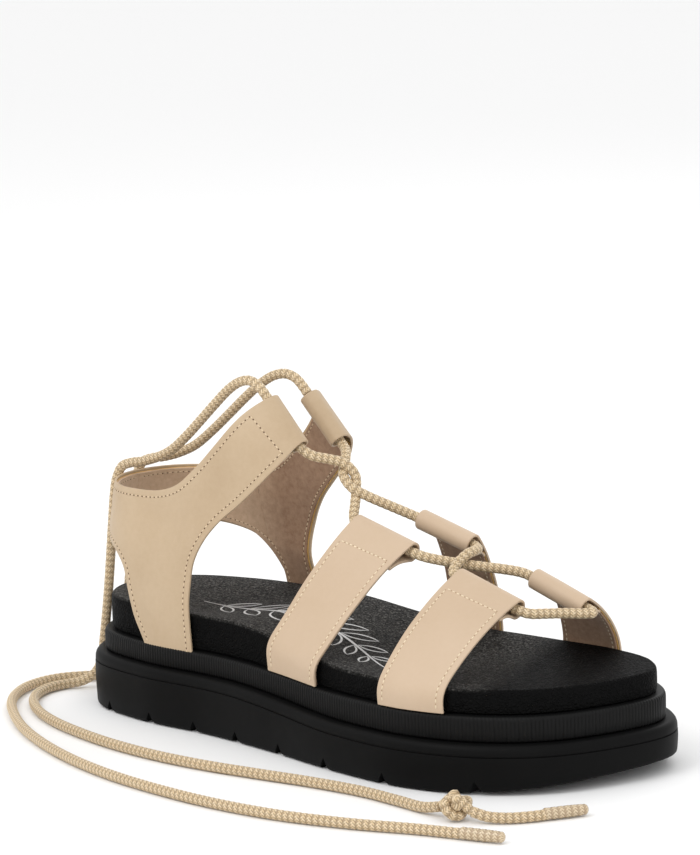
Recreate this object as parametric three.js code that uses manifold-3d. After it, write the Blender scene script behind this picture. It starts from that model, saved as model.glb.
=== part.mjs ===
// Gladiator sandal, right shoe. Millimetres: +X towards the toe, +Y towards the inner side of the foot, +Z up.
// The sole is three stacked layers on one outline. The upper is a heel quarter and four straps, each bent over
// the shape of the foot and folded into a lace tunnel. One lace runs through the six tunnels.
import * as THREE from "three";
import { mergeVertices } from "three/addons/utils/BufferGeometryUtils.js";
import Module from "manifold-3d";

const wasm = await Module();
wasm.setup();

// Driving dimensions
const gap = 0.3; // between touching pieces
const footbedLength = 256;
const toeTipSide = 16; // the toe tip stands this far towards the inner side
const midsoleReach = 3.2; // beyond the footbed, all round
const outsoleReach = 7.6;
const leather = 2; // thickness of leather and lining together
const legClearance = 0.5; // between a leg or strap and the footbed's side
const tunnelRadius = 4.1; // outside of a folded lace tunnel
const tunnelBore = 2.6;
const laceRadius = 2;
const aglet = { radius: 2.3, length: 17 };
const knot = { radius: 5.2, halfLength: 6.4 };
const outer = -1; // side of the foot, as the sign of Y
const inner = 1;

// Footbed outline: half widths at stations from the heel
const outlineRows = [
  { x: 10, outer: 21.5, inner: 21.5 },
  { x: 40, outer: 31.5, inner: 33 },
  { x: 80, outer: 34, inner: 35 },
  { x: 120, outer: 40.5, inner: 35 },
  { x: 160, outer: 49, inner: 38.5 },
  { x: 195, outer: 52, inner: 39 },
  { x: 225, outer: 43.5, inner: 38 },
  { x: 244, outer: 25.5, inner: 32 },
];
const outlineSteps = 64;
const soleCentre = new THREE.Vector3(124, -5, 0);

// Heights of the layers' top edges: the platform steps down between two stations
const outsoleTop = { heel: 23, forefoot: 19 };
const midsoleTop = { heel: 31.5, forefoot: 29 };
const footbedTop = { heel: 46, forefoot: 38.5 };
const wedge = { start: 85, end: 165 };
const toeSpring = { start: 200, rise: 5.5 };
const heelBevel = { end: 14, rise: 1.2 };

// Tread grooves across the outsole
const grooveStations = [19, 46, 71, 96, 123, 152, 185, 224];
const groove = { width: 5, height: 4.5 };

// Straps: where each leaves the sole, and the top line of its lace tunnel.
// fullness is the roundness of the section over the foot: 2 is an ellipse, 1 is a straight slope.
const strapRows = [
  { name: "instep_strap_outer", side: outer, baseBack: 113, baseFront: 143, foldSide: 11, fullness: 1.28,
    backX: 132, backZ: 88, frontX: 160.8, frontZ: 80.5 },
  { name: "instep_strap_inner", side: inner, baseBack: 139, baseFront: 163, foldSide: 16, fullness: 1.5,
    backX: 147.8, backZ: 88.1, frontX: 173.5, frontZ: 81 },
  { name: "toe_strap_outer", side: outer, baseBack: 180, baseFront: 210, foldSide: 11, fullness: 1.38,
    backX: 184.5, backZ: 73.7, frontX: 213.5, frontZ: 65 },
  { name: "toe_strap_inner", side: inner, baseBack: 193, baseFront: 222, foldSide: 16, fullness: 1.6,
    backX: 203.5, backZ: 71.5, frontX: 228, frontZ: 63 },
];
const crownInset = 13; // from a tunnel's top line to the crown of the foot
const wallShare = 0.25; // share of a strap that stands against the footbed
const flapShare = 0.8125; // the folded end is stitched down from here to the tunnel
const flap = 1.8; // thickness of the folded end

// Ankle form: plan sections at heights above the floor
const ankleRows = [
  { z: 20, back: 7, half: 34 },
  { z: 60, back: 5, half: 34 },
  { z: 72, back: 2, half: 33 },
  { z: 84, back: 3.5, half: 31 },
  { z: 94, back: 6, half: 30 },
  { z: 112, back: 12, half: 28 },
  { z: 125, back: 16, half: 26.5 },
  { z: 142, back: 20, half: 24 },
];
const heelArcStation = 36; // the heel is round behind this station
const noseLine = { x: 111.8, z: 116, slope: -0.9 }; // front of the ankle, in side view
const ankleFullness = 3;
const hugging = { low: 44, high: 62 }; // below this the quarter follows the footbed's side

// Heel quarter in side view
const collar = { back: 93, tunnelX: 95, tunnelZ: 132.6 };
const tunnelFoot = { x: 110.5, z: 115.8 };
const topFold = { outer: { side: 13.3, shift: -1.5, lift: 0.8 }, inner: { side: 12, shift: 0, lift: 0 } };
const innerLeg = { rearShift: 17, frontShift: 5 }; // the inner leg is slimmer and stands further forward
const legRear = [[40, 30], [33, 42], [30, 52], [28.5, 61], [21, 67], [10, 70.5], [-12, 72]];
const collarLine = [[-12, collar.back], [10, 93.2], [30, 92.8], [46, 93.4], [56.5, 96.5], [65, 102.5], [76, 113],
  [87, 125.5], [collar.tunnelX, collar.tunnelZ]];
const legFront = [[tunnelFoot.x, tunnelFoot.z], [106, 111], [98.5, 101.5], [88, 92], [78, 83.7], [71.5, 75.5],
  [66.8, 66], [65.3, 54], [66, 42], [67, 30]];

const colours = {
  rubber: { color: 0x17171a, roughness: 0.6, metalness: 0 },
  footbedSkin: { color: 0x1c1c1e, roughness: 0.45, metalness: 0 },
  leather: { color: 0xd8bd9c, roughness: 0.5, metalness: 0 },
  lace: { color: 0xcdb48a, roughness: 0.8, metalness: 0 },
  clearTip: { color: 0xe8e2d6, roughness: 0.25, metalness: 0 },
};

// Closed geometry to manifold solid and back
function solid(geometry) {
  const bare = geometry.clone();
  bare.deleteAttribute("normal");
  bare.deleteAttribute("uv");
  const merged = mergeVertices(bare, 1e-4);
  const corners = merged.index.array;
  const faces = [];
  for (let i = 0; i < corners.length; i += 3) {
    const [a, b, c] = [corners[i], corners[i + 1], corners[i + 2]];
    if (a !== b && b !== c && a !== c) faces.push(a, b, c);
  }
  return new wasm.Manifold(new wasm.Mesh({
    numProp: 3,
    vertProperties: new Float32Array(merged.getAttribute("position").array),
    triVerts: new Uint32Array(faces),
  }));
}

function piece(name, form, finish) {
  const mesh = form.getMesh();
  const geometry = new THREE.BufferGeometry();
  geometry.setAttribute("position", new THREE.BufferAttribute(new Float32Array(mesh.vertProperties), 3));
  geometry.setIndex(new THREE.BufferAttribute(new Uint32Array(mesh.triVerts), 1));
  geometry.computeVertexNormals();
  const node = new THREE.Mesh(geometry, new THREE.MeshStandardMaterial(finish));
  node.name = name;
  return node;
}

// Sole outline, from the heel along the outer side to the toe and back along the inner side
const outlineCurve = new THREE.CatmullRomCurve3([
  new THREE.Vector3(0, 0, 0),
  ...outlineRows.map((row) => new THREE.Vector3(row.x, -row.outer, 0)),
  new THREE.Vector3(footbedLength, toeTipSide, 0),
  ...outlineRows.toReversed().map((row) => new THREE.Vector3(row.x, row.inner, 0)),
], true, "centripetal");

function edgePoint(turn, outset) {
  const point = outlineCurve.getPointAt(turn % 1);
  const along = outlineCurve.getTangentAt(turn % 1);
  return new THREE.Vector3(point.x + along.y * outset, point.y - along.x * outset, 0);
}

// Half width of the footbed at a station, on one side
const sidePoints = outlineCurve.getSpacedPoints(360);

function halfWidth(x, side) {
  for (let i = 0; i < sidePoints.length - 1; i += 1) {
    const [near, far] = [sidePoints[i], sidePoints[i + 1]];
    const onSide = (near.y + far.y) * side > 0;
    if (onSide && (near.x - x) * (far.x - x) <= 0) {
      return Math.abs(THREE.MathUtils.mapLinear(x, near.x, far.x, near.y, far.y));
    }
  }
  return 0;
}

function layerTop(layer, x) {
  return THREE.MathUtils.lerp(layer.heel, layer.forefoot, THREE.MathUtils.smoothstep(x, wedge.start, wedge.end));
}

function treadHeight(x) {
  const toe = Math.max(0, x - toeSpring.start) / (footbedLength + outsoleReach - toeSpring.start);
  const heel = Math.max(0, heelBevel.end - x) / (heelBevel.end + outsoleReach);
  return toeSpring.rise * toe ** 2 + heelBevel.rise * heel ** 2;
}

// A sole layer: a lathe turned round the foot's outline instead of a circle.
// Each row is a ring: its reach from the centre to the edge, its outset beyond the edge and its height.
function soleLayer(rows) {
  const profile = rows.map((row, ring) => new THREE.Vector2(row.reach, ring));
  const geometry = new THREE.LatheGeometry(profile, outlineSteps);
  const spots = geometry.getAttribute("position");
  for (let step = 0; step <= outlineSteps; step += 1) {
    rows.forEach((row, ring) => {
      const point = edgePoint(step / outlineSteps, row.outset).lerp(soleCentre, 1 - row.reach);
      spots.setXYZ(step * rows.length + ring, point.x, point.y, row.height(point.x));
    });
  }
  return solid(geometry);
}

function outsole() {
  const top = (x) => layerTop(outsoleTop, x);
  const body = soleLayer([
    { reach: 0, outset: 0, height: treadHeight },
    { reach: 0.5, outset: 0, height: treadHeight },
    { reach: 0.85, outset: 3, height: treadHeight },
    { reach: 1, outset: outsoleReach - 1.6, height: treadHeight },
    { reach: 1, outset: outsoleReach - 0.5, height: (x) => treadHeight(x) + 1.4 },
    { reach: 1, outset: outsoleReach, height: (x) => top(x) * 0.55 },
    { reach: 1, outset: outsoleReach, height: (x) => top(x) - 3 },
    { reach: 1, outset: outsoleReach - 0.9, height: (x) => top(x) - 0.9 },
    { reach: 1, outset: outsoleReach - 2.6, height: top },
    { reach: 0.6, outset: 0, height: top },
    { reach: 0, outset: 0, height: top },
  ]);
  const section = new THREE.Shape();
  section.moveTo(-groove.width / 2 - 0.5, -0.9);
  section.lineTo(groove.width / 2 + 0.5, -0.9);
  section.lineTo(0, groove.height);
  const soleWidth = 160;
  return grooveStations.reduce((form, x) => {
    const cutter = new THREE.ExtrudeGeometry(section, { depth: soleWidth, bevelEnabled: false });
    cutter.rotateX(Math.PI / 2);
    cutter.translate(x, soleWidth / 2, treadHeight(x));
    return form.subtract(solid(cutter));
  }, body);
}

function midsole() {
  const foot = (x) => layerTop(outsoleTop, x) + gap;
  const top = (x) => layerTop(midsoleTop, x);
  return soleLayer([
    { reach: 0, outset: 0, height: foot },
    { reach: 0.6, outset: 0, height: foot },
    { reach: 1, outset: midsoleReach, height: foot },
    { reach: 1, outset: midsoleReach, height: (x) => top(x) - 1.6 },
    { reach: 1, outset: midsoleReach - 0.5, height: (x) => top(x) - 0.5 },
    { reach: 1, outset: midsoleReach - 1.6, height: top },
    { reach: 0.6, outset: 0, height: top },
    { reach: 0, outset: 0, height: top },
  ]);
}

// The foot's side of the footbed is hollowed: a heel cup, a flatter waist and a shallow dish under the toes
function footbedHollow(x) {
  const cup = 3.5 * (1 - THREE.MathUtils.smoothstep(x, 45, 100));
  const dish = 2.2 * THREE.MathUtils.smoothstep(x, 120, 175);
  return 0.8 + cup + dish;
}

function footbed() {
  const foot = (x) => layerTop(midsoleTop, x) + gap;
  const top = (x) => layerTop(footbedTop, x);
  const hollowed = (share) => (x) => top(x) - share * footbedHollow(x);
  return soleLayer([
    { reach: 0, outset: 0, height: foot },
    { reach: 0.6, outset: 0, height: foot },
    { reach: 1, outset: 0, height: foot },
    { reach: 1, outset: 0, height: (x) => top(x) - 1.6 },
    { reach: 1, outset: -0.5, height: (x) => top(x) - 0.4 },
    { reach: 1, outset: -1.8, height: top },
    { reach: 0.86, outset: 0, height: hollowed(0.35) },
    { reach: 0.66, outset: 0, height: hollowed(0.85) },
    { reach: 0.35, outset: 0, height: hollowed(1) },
    { reach: 0, outset: 0, height: hollowed(1) },
  ]);
}

// Outward normal of a surface given by a function of two shares
function normalAt(surface, across, along, side) {
  const step = 0.004;
  const acrossWay = surface(across + step, along).sub(surface(across - step, along));
  const alongWay = surface(across, along + step).sub(surface(across, along - step));
  const normal = acrossWay.cross(alongWay).normalize();
  return normal.y * side < 0 ? normal.negate() : normal;
}

// A wall of leather bent over a surface, between two depths below it. A flat grid is bent to the surface.
function bentWall(surface, normal, steps, topDepth, bottomDepth, start = 0) {
  const grid = new THREE.BoxGeometry(1, 1, 1, steps.across, steps.along, 1);
  const spots = grid.getAttribute("position");
  for (let i = 0; i < spots.count; i += 1) {
    const across = spots.getX(i) + 0.5;
    const along = THREE.MathUtils.lerp(start, 1, spots.getY(i) + 0.5);
    const depth = THREE.MathUtils.lerp(bottomDepth, topDepth, spots.getZ(i) + 0.5);
    const point = surface(across, along).addScaledVector(normal(across, along), -depth);
    spots.setXYZ(i, point.x, point.y, point.z);
  }
  return outwardSolid(grid);
}

function outwardSolid(geometry) {
  const form = solid(geometry);
  if (form.volume() > 0) return form;
  const flipped = geometry.clone();
  flipped.setIndex(Array.from(geometry.index.array).reverse());
  return solid(flipped);
}

// A tunnel's tube along its axis, and the bore through it
function tunnelTube(axis) {
  const [back, middle, front] = axis;
  const ring = new THREE.Shape().absarc(0, 0, tunnelRadius, 0, Math.PI * 2);
  const path = new THREE.CatmullRomCurve3([back, middle, front]);
  return solid(new THREE.ExtrudeGeometry(ring, { extrudePath: path, steps: 2, curveSegments: 8 }));
}

function tunnelBoreCut(axis) {
  const [back, middle, front] = axis;
  const overrun = 0.3; // share of the tunnel that the cut runs on past each end
  const past = (end, other) => end.clone().lerp(other, -overrun);
  const path = new THREE.CatmullRomCurve3([past(back, middle), middle, past(front, middle)]);
  const hole = new THREE.Shape().absarc(0, 0, tunnelBore, 0, Math.PI * 2);
  return solid(new THREE.ExtrudeGeometry(hole, { extrudePath: path, steps: 2, curveSegments: 8 }));
}

// Surface of the foot under one strap: upright beside the footbed, then over the foot to the tunnel's top line
function strapSurface(strap) {
  return (across, along) => {
    const baseX = THREE.MathUtils.lerp(strap.baseBack, strap.baseFront, across);
    const foldX = THREE.MathUtils.lerp(strap.backX, strap.frontX, across);
    const foldZ = THREE.MathUtils.lerp(strap.backZ, strap.frontZ, across);
    const wallSide = halfWidth(baseX, strap.side) + legClearance + leather;
    const hem = layerTop(midsoleTop, baseX) + gap;
    const shoulder = layerTop(footbedTop, baseX) - 2;
    if (along < wallShare) {
      const z = THREE.MathUtils.lerp(hem, shoulder, along / wallShare);
      return new THREE.Vector3(baseX, strap.side * wallSide, z);
    }
    const crownSide = strap.foldSide - crownInset;
    const reach = wallSide - crownSide;
    const foldReach = crownInset / reach;
    const rise = (foldZ - shoulder) / (1 - foldReach ** strap.fullness) ** (1 / strap.fullness);
    const over = (along - wallShare) / (1 - wallShare);
    const turn = over * Math.acos(foldReach ** (strap.fullness / 2));
    const x = THREE.MathUtils.lerp(baseX, foldX, over ** 1.2);
    const y = crownSide + reach * Math.cos(turn) ** (2 / strap.fullness);
    const z = shoulder + rise * Math.sin(turn) ** (2 / strap.fullness);
    return new THREE.Vector3(x, strap.side * y, z);
  };
}

function strapTunnelAxis(strap) {
  const surface = strapSurface(strap);
  return [0, 0.5, 1].map((across) => {
    const normal = normalAt(surface, across, 0.99, strap.side);
    return surface(across, 1).addScaledVector(normal, -tunnelRadius);
  });
}

function strapForm(strap) {
  const surface = strapSurface(strap);
  const normal = (across, along) => normalAt(surface, across, Math.min(Math.max(along, 0.01), 0.99), strap.side);
  const steps = { across: 4, along: 14 };
  const flapSteps = { across: 4, along: 3 };
  const axis = strapTunnelAxis(strap);
  return bentWall(surface, normal, steps, 0, leather)
    .add(bentWall(surface, normal, flapSteps, leather - 0.3, leather + flap, flapShare))
    .add(tunnelTube(axis))
    .subtract(tunnelBoreCut(axis));
}

// Ankle form
function ankleRow(z) {
  const above = Math.min(Math.max(ankleRows.findIndex((row) => row.z >= z), 1), ankleRows.length - 1);
  const [low, high] = [ankleRows[above - 1], ankleRows[above]];
  const share = THREE.MathUtils.clamp((z - low.z) / (high.z - low.z), 0, 1);
  return {
    back: THREE.MathUtils.lerp(low.back, high.back, share),
    half: THREE.MathUtils.lerp(low.half, high.half, share),
    nose: noseLine.x + noseLine.slope * (z - noseLine.z),
  };
}

// Half width of the heel quarter's outside at a station and height, on one side
function ankleHalf(x, z, side) {
  const { half, nose } = ankleRow(z);
  const share = THREE.MathUtils.clamp((x - heelArcStation) / (nose - heelArcStation), 0, 0.999);
  const open = half * (1 - share ** ankleFullness) ** (1 / ankleFullness);
  const sole = halfWidth(Math.max(x, heelArcStation), side) + legClearance + leather;
  return THREE.MathUtils.lerp(sole, open, THREE.MathUtils.smoothstep(z, hugging.low, hugging.high));
}

// Surface of the quarter: from the front of the ankle along the outer side, round the heel and back
function quarterSurface(across, along) {
  const top = 138;
  const sideShare = 0.34;
  const side = across < 0.5 ? outer : inner;
  const fromFront = Math.min(across, 1 - across);
  const z = THREE.MathUtils.lerp(layerTop(midsoleTop, 0) + gap, top, along);
  const { back, nose } = ankleRow(z);
  if (fromFront < sideShare) {
    const reach = (fromFront / sideShare) ** 1.5;
    const x = THREE.MathUtils.lerp(nose - 0.6, heelArcStation, reach);
    return new THREE.Vector3(x, side * ankleHalf(x, z, side), z);
  }
  const turn = THREE.MathUtils.mapLinear(fromFront, sideShare, 0.5, 0, Math.PI / 2);
  const x = heelArcStation - (heelArcStation - back) * Math.sin(turn);
  return new THREE.Vector3(x, side * ankleHalf(heelArcStation, z, side) * Math.cos(turn), z);
}

function quarterNormal(across, along) {
  const step = 0.002;
  const middle = THREE.MathUtils.clamp(across, step, 1 - step);
  const level = THREE.MathUtils.clamp(along, step, 1 - step);
  const acrossWay = quarterSurface(middle + step, level).sub(quarterSurface(middle - step, level));
  const alongWay = quarterSurface(middle, level + step).sub(quarterSurface(middle, level - step));
  return acrossWay.cross(alongWay).normalize().negate();
}

// Side view of the quarter, on the outer or inner half of the shoe
function quarterCutter(side) {
  const slim = side === inner ? innerLeg : { rearShift: 0, frontShift: 0 };
  const fold = side === inner ? topFold.inner : topFold.outer;
  const near = (z) => THREE.MathUtils.smoothstep(z, 88, 114);
  const fade = (z) => 1 - THREE.MathUtils.smoothstep(z, 62, 84);
  const rear = legRear.map(([x, z]) => new THREE.Vector2(x + slim.rearShift * fade(z), z));
  const raised = ([x, z]) => new THREE.Vector2(x + slim.frontShift * fade(z) + fold.shift * near(z),
    z + fold.lift * near(z));
  const front = legFront.map(raised);
  const top = collarLine.map(([x, z]) => new THREE.Vector2(x + fold.shift * near(z), z + fold.lift * near(z)));
  const shape = new THREE.Shape();
  shape.moveTo(rear[0].x, rear[0].y);
  shape.splineThru(rear.slice(1));
  shape.lineTo(top[0].x, top[0].y);
  shape.splineThru(top.slice(1));
  shape.lineTo(front[0].x, front[0].y);
  shape.splineThru(front.slice(1));
  const cutter = new THREE.ExtrudeGeometry(shape, { depth: 60, bevelEnabled: false, curveSegments: 2 });
  cutter.rotateX(Math.PI / 2);
  if (side === inner) cutter.translate(0, 60, 0);
  return solid(cutter);
}

function topTunnelAxis(side) {
  const fold = side === inner ? topFold.inner : topFold.outer;
  return [0, 0.5, 1].map((share) => {
    const x = THREE.MathUtils.lerp(collar.tunnelX, tunnelFoot.x, share) + fold.shift;
    const z = THREE.MathUtils.lerp(collar.tunnelZ, tunnelFoot.z, share) + fold.lift;
    const step = 0.3;
    const slopeX = (ankleHalf(x + step, z, side) - ankleHalf(x - step, z, side)) / (2 * step);
    const slopeZ = (ankleHalf(x, z + step, side) - ankleHalf(x, z - step, side)) / (2 * step);
    const normal = new THREE.Vector3(-slopeX, side, -slopeZ).normalize();
    return new THREE.Vector3(x, side * fold.side, z).addScaledVector(normal, -tunnelRadius);
  });
}

function heelQuarter() {
  const wall = bentWall(quarterSurface, quarterNormal, { across: 36, along: 15 }, 0, leather);
  const cut = wall.intersect(quarterCutter(outer).add(quarterCutter(inner)));
  return [outer, inner].reduce((form, side) => {
    const axis = topTunnelAxis(side);
    return form.add(tunnelTube(axis)).subtract(tunnelBoreCut(axis));
  }, cut);
}

// The lace, at rest on the floor with its ends untied. Routes are centre lines.
// From the outer top tunnel down the outer side, across to the inner toe tunnel and into the toe bar
const outerStrand = [
  [90.8, -11.5, 130.9], [98.5, -11.6, 122.5], [106.2, -11.7, 114.1], [110.8, -9.6, 110.8], [114.9, -5.2, 109.2],
  [119.4, -0.8, 107.2], [122.4, 2.2, 102.4], [124, 0.8, 96.8], [126, -2.4, 91.6], [128.2, -5.8, 87.9],
  [131.3, -8, 85.3], [145.7, -8.2, 81.3], [160, -8.4, 77.4], [164.8, -7, 76], [169.8, -3.8, 74.7],
  [175.6, 0.4, 73.4], [183, 5, 72.2], [190.6, 9.6, 71.2], [197.2, 12.8, 70], [202.4, 13.7, 68.3],
  [214.6, 14, 63.9], [226.8, 14.2, 59.5], [231.2, 12.4, 58.6], [229.2, 8, 58.8], [225.6, 3.4, 59.4],
];
// From the inner top tunnel down the inner side, across to the outer toe tunnel and into the toe bar
const innerStrand = [
  [92.2, 10.6, 130], [99.9, 10.7, 121.6], [107.6, 10.8, 113.2], [111.6, 9.2, 110.6], [114.8, 5.8, 109],
  [117.2, 2.4, 106.4], [118.8, -0.6, 102.6], [123.6, -1.4, 98.2], [128.6, 2.2, 94.6], [134.6, 6.6, 91.2],
  [141, 10.8, 87.9], [147.1, 12.9, 85.5], [159.9, 13.1, 81.8], [172.7, 13.2, 78.1], [176.2, 11.4, 77.3],
  [178, 7.4, 77.4], [178.6, 2.6, 77.2], [178.2, -2.6, 74.8], [179.2, -7.2, 72], [183.4, -9.3, 70.1],
  [197.9, -9.5, 65.7], [212.4, -9.6, 61.3], [217, -8, 60.2], [220.2, -3.6, 59.8], [225.2, 2.8, 59.4],
];
const outerTie = [
  [90.5, -11.5, 131.3], [87.8, -11.5, 134.2], [84.2, -11.3, 137], [79.6, -11, 138.1], [74.2, -10.6, 136.9],
  [67.8, -10, 133.3], [60, -9.4, 127], [51, -8.8, 119.2], [42, -8.2, 111.6], [33, -7.7, 105],
  [24.5, -7.2, 101.2], [16.5, -6.9, 98.8], [10, -6.7, 97.6], [4.2, -6.6, 95.4], [0.8, -6.5, 90.2],
  [-1, -6.4, 83], [-2.6, -6.3, 72], [-6.4, -6.5, 42], [-9.6, -6.7, 22], [-11.2, -7, 12.8], [-14.6, -7.8, 6.6],
  [-19.6, -10, 3], [-23.8, -14.4, 2.05], [-25.4, -21, 2.05], [-24, -29.6, 2.05], [-19.4, -38.5, 2.05],
  [-10.5, -48, 2.05], [2, -57, 2.05], [18, -65, 2.05], [38, -72, 2.05], [62, -78, 2.05], [88, -81.5, 2.05],
  [114, -82, 2.05], [140, -80, 2.05], [166, -77.5, 2.05], [190, -77, 2.05], [210, -79.5, 2.05],
  [224, -82, 2.3], [233, -82.6, 4],
];
const outerTip = [[246.8, -81.6, 4], [252.4, -79.4, 2.5], [258.4, -75.4, 2.05], [263.6, -69.6, 2.05],
  [266.6, -64.4, 2.05]];
const innerTie = [
  [91.6, 10.6, 130.7], [88.9, 10.6, 133.6], [85.2, 10.5, 136.6], [80.4, 10.2, 137.9], [74.6, 9.8, 136.8],
  [68, 9.3, 133.2], [60, 8.7, 127], [51, 8, 119.2], [42, 7.3, 111.6], [33, 6.7, 105], [24.5, 6.3, 101.2],
  [16.5, 6, 98.8], [10, 5.8, 97.6], [4.2, 5.7, 95.4], [0.8, 5.6, 90.2], [-1, 5.6, 83], [-2.6, 5.6, 72],
  [-6.4, 5.7, 42], [-9.6, 5.8, 22], [-11.4, 5.7, 12.8], [-15.2, 5.2, 6.4], [-21.4, 3.6, 2.7],
  [-28, -0.4, 2.05], [-33.2, -7.4, 2.05], [-35.6, -17, 2.05], [-34.2, -28.5, 2.05], [-28.5, -40.5, 2.05],
  [-19, -52.5, 2.05], [-5, -65, 2.05], [14, -79, 2.05], [38, -92.5, 2.05], [66, -104.5, 2.05],
  [96, -113.5, 2.05], [127, -119, 2.05], [158, -121.5, 2.05], [188, -120, 2.05], [216, -114, 2.05],
  [242, -105.5, 2.05], [258, -101.5, 2.05],
];

function routePoints(route) {
  return route.map((spot) => new THREE.Vector3(...spot));
}

function cordTube(route, radius, steps) {
  const section = new THREE.Shape().absarc(0, 0, radius, 0, Math.PI * 2);
  const path = new THREE.CatmullRomCurve3(routePoints(route));
  return solid(new THREE.ExtrudeGeometry(section, { extrudePath: path, steps, curveSegments: 4 }));
}

function laceCrossings() {
  return cordTube(outerStrand, laceRadius, 42).add(cordTube(innerStrand, laceRadius, 42));
}

// A straight tip on the end of a route
function agletOn(route) {
  const [before, end] = routePoints(route).slice(-2);
  const direction = end.clone().sub(before).setZ(0).normalize();
  const middle = end.clone().addScaledVector(direction, gap + aglet.length / 2).setZ(aglet.radius + 0.05);
  const body = new THREE.CylinderGeometry(aglet.radius, aglet.radius, aglet.length, 10);
  body.applyQuaternion(new THREE.Quaternion().setFromUnitVectors(new THREE.Vector3(0, 1, 0), direction));
  body.translate(middle.x, middle.y, middle.z);
  return solid(body);
}

// The knot is a closed bead between the tie and its tip
function knotBead() {
  const [from, to] = [routePoints(outerTie).at(-1), routePoints(outerTip)[0]];
  const direction = to.clone().sub(from).normalize();
  const middle = from.clone().add(to).multiplyScalar(0.5).setZ(knot.radius + 0.05);
  const body = new THREE.SphereGeometry(knot.radius, 12, 8);
  body.scale(1, knot.halfLength / knot.radius, 1);
  body.applyQuaternion(new THREE.Quaternion().setFromUnitVectors(new THREE.Vector3(0, 1, 0), direction));
  body.translate(middle.x, middle.y, middle.z);
  return solid(body);
}

const shoe = new THREE.Group();
shoe.add(piece("outsole", outsole(), colours.rubber));
shoe.add(piece("midsole", midsole(), colours.rubber));
shoe.add(piece("footbed", footbed(), colours.footbedSkin));
shoe.add(piece("heel_quarter", heelQuarter(), colours.leather));
strapRows.forEach((strap) => shoe.add(piece(strap.name, strapForm(strap), colours.leather)));
shoe.add(piece("lace_crossings", laceCrossings(), colours.lace));
shoe.add(piece("lace_tie_outer", cordTube(outerTie, laceRadius, 52), colours.lace));
shoe.add(piece("lace_tie_inner", cordTube(innerTie, laceRadius, 56), colours.lace));
shoe.add(piece("lace_knot", knotBead(), colours.lace));
shoe.add(piece("lace_tip_outer", cordTube(outerTip, laceRadius, 6), colours.lace));
shoe.add(piece("aglet_outer", agletOn(outerTip), colours.clearTip));
shoe.add(piece("aglet_inner", agletOn(innerTie), colours.clearTip));

// The origin is under the middle of the outsole
const footprint = new THREE.Box3().setFromObject(shoe.getObjectByName("outsole"));
const middle = footprint.getCenter(new THREE.Vector3());
shoe.position.set(-middle.x, -middle.y, 0);

export default shoe;
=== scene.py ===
import math

import bpy
import numpy as np
from mathutils import Matrix, Vector


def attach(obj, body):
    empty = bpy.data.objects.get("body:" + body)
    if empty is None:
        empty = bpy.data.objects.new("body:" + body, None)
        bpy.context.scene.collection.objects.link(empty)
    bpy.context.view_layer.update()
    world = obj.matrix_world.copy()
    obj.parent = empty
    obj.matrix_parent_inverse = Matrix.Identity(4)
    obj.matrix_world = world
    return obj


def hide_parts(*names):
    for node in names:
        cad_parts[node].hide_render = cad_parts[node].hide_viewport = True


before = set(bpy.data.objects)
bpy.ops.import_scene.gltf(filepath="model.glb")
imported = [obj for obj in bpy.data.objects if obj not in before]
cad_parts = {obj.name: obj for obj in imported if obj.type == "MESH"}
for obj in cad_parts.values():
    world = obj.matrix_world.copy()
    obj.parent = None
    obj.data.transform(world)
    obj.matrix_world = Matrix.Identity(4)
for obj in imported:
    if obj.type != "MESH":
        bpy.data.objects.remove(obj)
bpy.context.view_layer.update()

# Shapes are worked out in millimetres from the heel end of the footbed, then moved to the row frame
rowShift = np.array([-128.05, 6.6, 0.0])
mm = 0.001
outer, inner = -1, 1  # the sign of y on each side of the shoe


def toRow(spots):
    return (np.asarray(spots, float) + rowShift) * mm


cameraSet = {
    "azimuth": 40.98,
    "elevation": 9.96,
    "roll": -1.58,
    "distance": 1674.7,
    "target": (122.42, 0.0, 121.6),
    "lens": 220.2,
    "sensor": 36,
    "clip": (0.05, 60),
}


def addCamera():
    azimuth, elevation, roll = (math.radians(cameraSet[key]) for key in ("azimuth", "elevation", "roll"))
    back = Vector((math.sin(azimuth) * math.cos(elevation), -math.cos(azimuth) * math.cos(elevation),
                   math.sin(elevation)))
    right = Vector((math.cos(azimuth), math.sin(azimuth), 0))
    up = back.cross(right)
    rolledRight = math.cos(roll) * right + math.sin(roll) * up
    rolledUp = math.cos(roll) * up - math.sin(roll) * right
    place = Vector(toRow(cameraSet["target"])) + back * cameraSet["distance"] * mm
    data = bpy.data.cameras.new("camera")
    data.lens = cameraSet["lens"]
    data.sensor_width = cameraSet["sensor"]
    data.sensor_fit = "HORIZONTAL"
    data.clip_start, data.clip_end = cameraSet["clip"]
    camera = bpy.data.objects.new("camera", data)
    bpy.context.scene.collection.objects.link(camera)
    camera.matrix_world = Matrix.Translation(place) @ Matrix((rolledRight, rolledUp, back)).transposed().to_4x4()
    bpy.context.scene.camera = camera


addCamera()
print("camera placed")


def smoothStep(value, low, high):
    # 0 below the low value and 1 above the high one, with a soft start and end
    share = np.clip((np.asarray(value, float) - low) / (high - low), 0, 1)
    return share * share * (3 - 2 * share)


def unit(vectors):
    return vectors / np.maximum(np.linalg.norm(vectors, axis=-1, keepdims=True), 1e-9)


def distances(line):
    # distance walked along a line at each of its spots
    return np.concatenate([[0], np.cumsum(np.linalg.norm(np.diff(line, axis=0), axis=1))])


def onLine(wanted, walked, line):
    # spots on a line at the wanted distances
    return np.stack([np.interp(wanted, walked, line[:, k]) for k in range(line.shape[1])], 1)


def faceWays(spots):
    # unit normals of a grid of spots; the caller settles which way they look
    return unit(np.cross(np.gradient(spots, axis=0), np.gradient(spots, axis=1)))


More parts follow.
